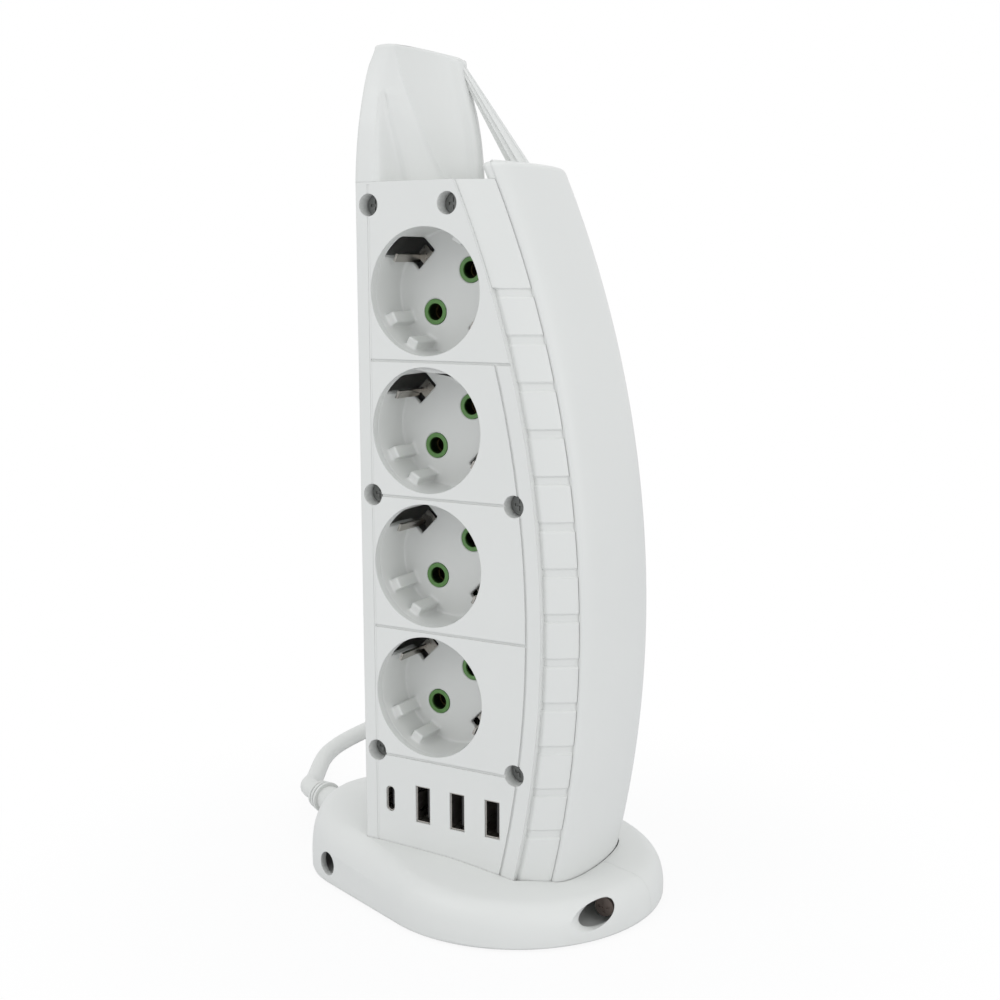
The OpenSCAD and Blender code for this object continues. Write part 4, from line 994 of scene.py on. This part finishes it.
# The base: rings climb its rounded side to the shoulder, and on to the tower
base = {
    "round": 50.2, "tail": 34.0, "span": 44.6, "low": 14.0, "high": 26.0, "inset": 9.5,
    "feet": 0.8, "rise": 2.4, "power": 1.6, "wall": 2.4, "around": 192, "sideSteps": 30, "flatSteps": 9,
    "footRound": ((0.5, 0), (0.15, 0.12), (0, 0.5)), "hollowFoot": -0.05,
    "sideIn": (0, 0, 0.08, 0.26, 0.56, 1), "sideUp": (0, 0.3, 0.58, 0.79, 0.93, 1),
    "flatIn": (1, 1.5, 2.2, 2.9), "flatUp": (0, 0.4, 0.85, 1.15),
    "wellWide": 8.0, "wellLong": 60, "sleeve": (-50, 0, 14), "sleeveWide": 10.2, "sleeveLong": 30,
    "play": 0.12, "planAt": 16.5, "sailSteps": 24, "bulgeSteps": 20, "roomSpan": (-5, 60),
    "boxHalf": 80, "boxSpan": (-10, 70), "seam": 0.03, "softWidth": 0.3, "softAngle": 50,
    "softSegments": 2, "sharp": 30,
}
baseHalf = (base["span"] + base["tail"] + base["round"]) / 2


def baseSpot(a, inset):
    # a spot of the plan: a wide round end at the right, a narrower one at the left
    radius, middle = base["tail"], base["tail"] - baseHalf
    if base["span"] * math.cos(a) + base["round"] - base["tail"] > 0:
        radius, middle = base["round"], baseHalf - base["round"]
    return middle + (radius - inset) * math.cos(a), (radius - inset) * math.sin(a)


def shoulder(x):
    return mix(base["low"], base["high"], ((baseHalf - x) / (2 * baseHalf)) ** base["power"])


def baseRing(inset, share, lift, wall):
    ring = []
    for j in range(base["around"]):
        a = 2 * math.pi * (j + 0.5) / base["around"]
        x, y = baseSpot(a, inset + wall)
        edge = baseSpot(a, base["inset"])
        z = base["feet"] + (shoulder(edge[0]) - base["feet"] - wall) * share + lift
        ring.append((x, y, z))
    return ring


def baseSolid(name, wall):
    if wall:
        rings = [baseRing(0, base["hollowFoot"], 0, wall)]
    else:
        rings = [baseRing(inset, 0, lift, 0) for inset, lift in base["footRound"]]
    for i in range(1, base["sideSteps"] + 1):
        s = (len(base["sideIn"]) - 1) * i / base["sideSteps"]
        inset = base["inset"] * through(base["sideIn"], s)
        rings.append(baseRing(inset, through(base["sideUp"], s), 0, wall))
    for i in range(1, base["flatSteps"] + 1):
        s = (len(base["flatIn"]) - 1) * i / base["flatSteps"]
        inset = base["inset"] * through(base["flatIn"], s)
        rings.append(baseRing(inset, 1, base["rise"] * through(base["flatUp"], s), wall))
    return meshPiece(name, *closedLoops(rings))


def towerRoom():
    # plan of the tower's foot, with a little play, as a prism that cuts the base
    play, z = base["play"], base["planAt"]
    half, left = tower["half"], tower["left"] - play
    right = bowEdge(tower["faceR"] + play, z)
    loop = [(left, -half - play), (right, -half - play)]
    for i in range(base["sailSteps"] + 1):
        a = math.pi * i / base["sailSteps"]
        r = tower["stripR"] + play + tower["sailRise"] * math.sin(a)
        loop.append((bowEdge(r, z), -(tower["sailHalf"] + play) * math.cos(a)))
    loop += [(right, half + play), (left, half + play)]
    for i in range(1, base["bulgeSteps"]):
        y = half * math.sin(math.pi * (0.5 - i / base["bulgeSteps"]))
        bulge = math.sqrt(tower["bulgeR"] ** 2 - y * y) - (tower["bulgeR"] - tower["bulge"])
        loop.append((left - bulge, y))
    return prism("room", loop, *base["roomSpan"])


def prism(name, loop, low, high):
    count = len(loop)
    points = [(x, y, low) for x, y in loop] + [(x, y, high) for x, y in loop]
    faces = [tuple(range(count))[::-1], tuple(range(count, 2 * count))]
    for j in range(count):
        k = (j + 1) % count
        faces.append((j, k, count + k, count + j))
    return meshPiece(name, points, faces)


def sideBox(name, near, far):
    # a block over the base's whole width, between two depths
    wide = base["boxHalf"]
    return prism(name, [(-wide, near), (wide, near), (wide, far), (-wide, far)], *base["boxSpan"])


def rod(name, start, axis, width, length, sides=48):
    # a round cutter along an axis, from its start
    turn = Vector(axis).normalized().to_track_quat("Z", "Y")
    angles = [2 * math.pi * j / sides for j in range(sides)]
    loop = [(math.cos(a) * width / 2, math.sin(a) * width / 2) for a in angles]
    low, high = ([tuple(Vector(start) + turn @ Vector((x, y, way))) for x, y in loop] for way in (0, length))
    return meshPiece(name, *closedLoops([low, high]))


def cutAway(piece, *cutters):
    for cutter in cutters:
        step = piece.modifiers.new("cut", "BOOLEAN")
        step.operation = "DIFFERENCE"
        step.solver = "EXACT"
        step.object = cutter
    applied(piece)
    for cutter in cutters:
        bpy.data.objects.remove(cutter)


def addBevel(piece, width, segments, angle, harden):
    step = piece.modifiers.new("soften", "BEVEL")
    step.width = width * mm
    step.segments = segments
    step.limit_method = "ANGLE"
    step.angle_limit = math.radians(angle)
    step.harden_normals = harden


def makeBase():
    front = baseSolid("baseFront", 0)
    cutAway(front, baseSolid("hollow", base["wall"]), towerRoom())
    cutAway(front, rod("sleeve", base["sleeve"], (-1, 0, 0), base["sleeveWide"], base["sleeveLong"]))
    rear = twinOf(front, "baseRear")
    cutAway(front, sideBox("behind", -base["seam"], base["boxHalf"]))
    cutAway(rear, sideBox("before", -base["boxHalf"], 0.0))
    for spot in screw["base"]:
        cutAway(front, rod("well", spot, (0, -1, 0), base["wellWide"], base["wellLong"]))
    for piece, node in ((front, "base_front"), (rear, "base_rear")):
        tidyMesh(piece.data, base["sharp"])
        addBevel(piece, base["softWidth"], base["softSegments"], base["softAngle"], False)
        applied(piece)
        tidyMesh(piece.data, base["softAngle"])
        settleWhite(piece, node)


makeBase()
print("base made")

# Shells, clips and blocks keep the solid's shape; a merged copy gets soft edges of these widths
copySkin = {
    "merge": 0.002, "flat": 0.6, "segments": 2, "angle": 40,
    "shell": 0.18, "clip": 0.22, "block": 0.18, "port": 0.12,
}


def softCopy(node, name, width, finish, slot):
    piece = twinOf(nodes[node], name)
    work = bmesh.new()
    work.from_mesh(piece.data)
    bmesh.ops.remove_doubles(work, verts=work.verts, dist=copySkin["merge"] * mm)
    flat = math.radians(copySkin["flat"])
    bmesh.ops.dissolve_limit(work, angle_limit=flat, verts=work.verts, edges=work.edges)
    work.to_mesh(piece.data)
    work.free()
    piece.data.shade_smooth()
    addBevel(piece, width, copySkin["segments"], copySkin["angle"], True)
    even = piece.modifiers.new("even", "WEIGHTED_NORMAL")
    even.keep_sharp = True
    applied(piece)
    settle(piece, finish, slot, node)


# A moulded insert: its solid remade in even cells, then eased so that every edge is round
insertSkin = {"cell": 0.3, "rounds": 16, "ease": 0.5}


def roundedCopy(node, name):
    piece = twinOf(nodes[node], name)
    cells = piece.modifiers.new("cells", "REMESH")
    cells.mode = "VOXEL"
    cells.voxel_size = insertSkin["cell"] * mm
    cells.use_smooth_shade = True
    eased = piece.modifiers.new("eased", "SMOOTH")
    eased.factor = insertSkin["ease"]
    eased.iterations = insertSkin["rounds"]
    applied(piece)
    piece.data.shade_smooth()
    settleWhite(piece, node)


for node, name in (("front_shell", "frontShell"), ("rear_shell", "rearShell")):
    softCopy(node, name, copySkin["shell"], "whitePlastic", "white_plastic")
socketNumbers = range(1, 5)
for number in socketNumbers:
    roundedCopy(f"socket_insert_{number}", f"socketInsert{number}")
for number in socketNumbers:
    clip, block = f"earthClip{number}", f"contactCarrier{number}"
    softCopy(f"earth_clip_{number}", clip, copySkin["clip"], "nickel", "nickel")
    softCopy(f"contact_carrier_{number}", block, copySkin["block"], "greenPlastic", "green_plastic")
for node, name in (("usb_a_shells", "usbShells"), ("usb_c_shell", "usbSmallShell")):
    softCopy(node, name, copySkin["port"], "nickel", "nickel")
print("shells, inserts, clips and coloured blocks made")

# Pieces that keep their solids get their finish here
plainPieces = {
    "whitePlastic": ["base_plate", "plug_body"],
    "darkPlastic": ["cord_clamp", "usb_a_tongues", "usb_c_tongue"],
    "nickel": ["plug_pins", "plug_earth_plates"],
    "brass": ["earth_bar"],
    "dullBrass": ["live_bar", "neutral_bar"],
    "boardGreen": ["usb_board", "surge_board"],
    "yellowTape": ["usb_transformer"],
    "canSleeve": ["usb_capacitors"],
    "varistorCoat": ["varistors"],
    "fuseBody": ["thermal_fuse"],
    "liveJacket": ["live_lead"],
    "neutralJacket": ["neutral_lead"],
    "earthJacket": ["earth_lead"],
    "rubber": ["rubber_feet"],
    "zincSteel": ["clamp_screws"],
}
for finish, names in plainPieces.items():
    for name in names:
        dress(nodes[name], finish)
print("solids dressed")
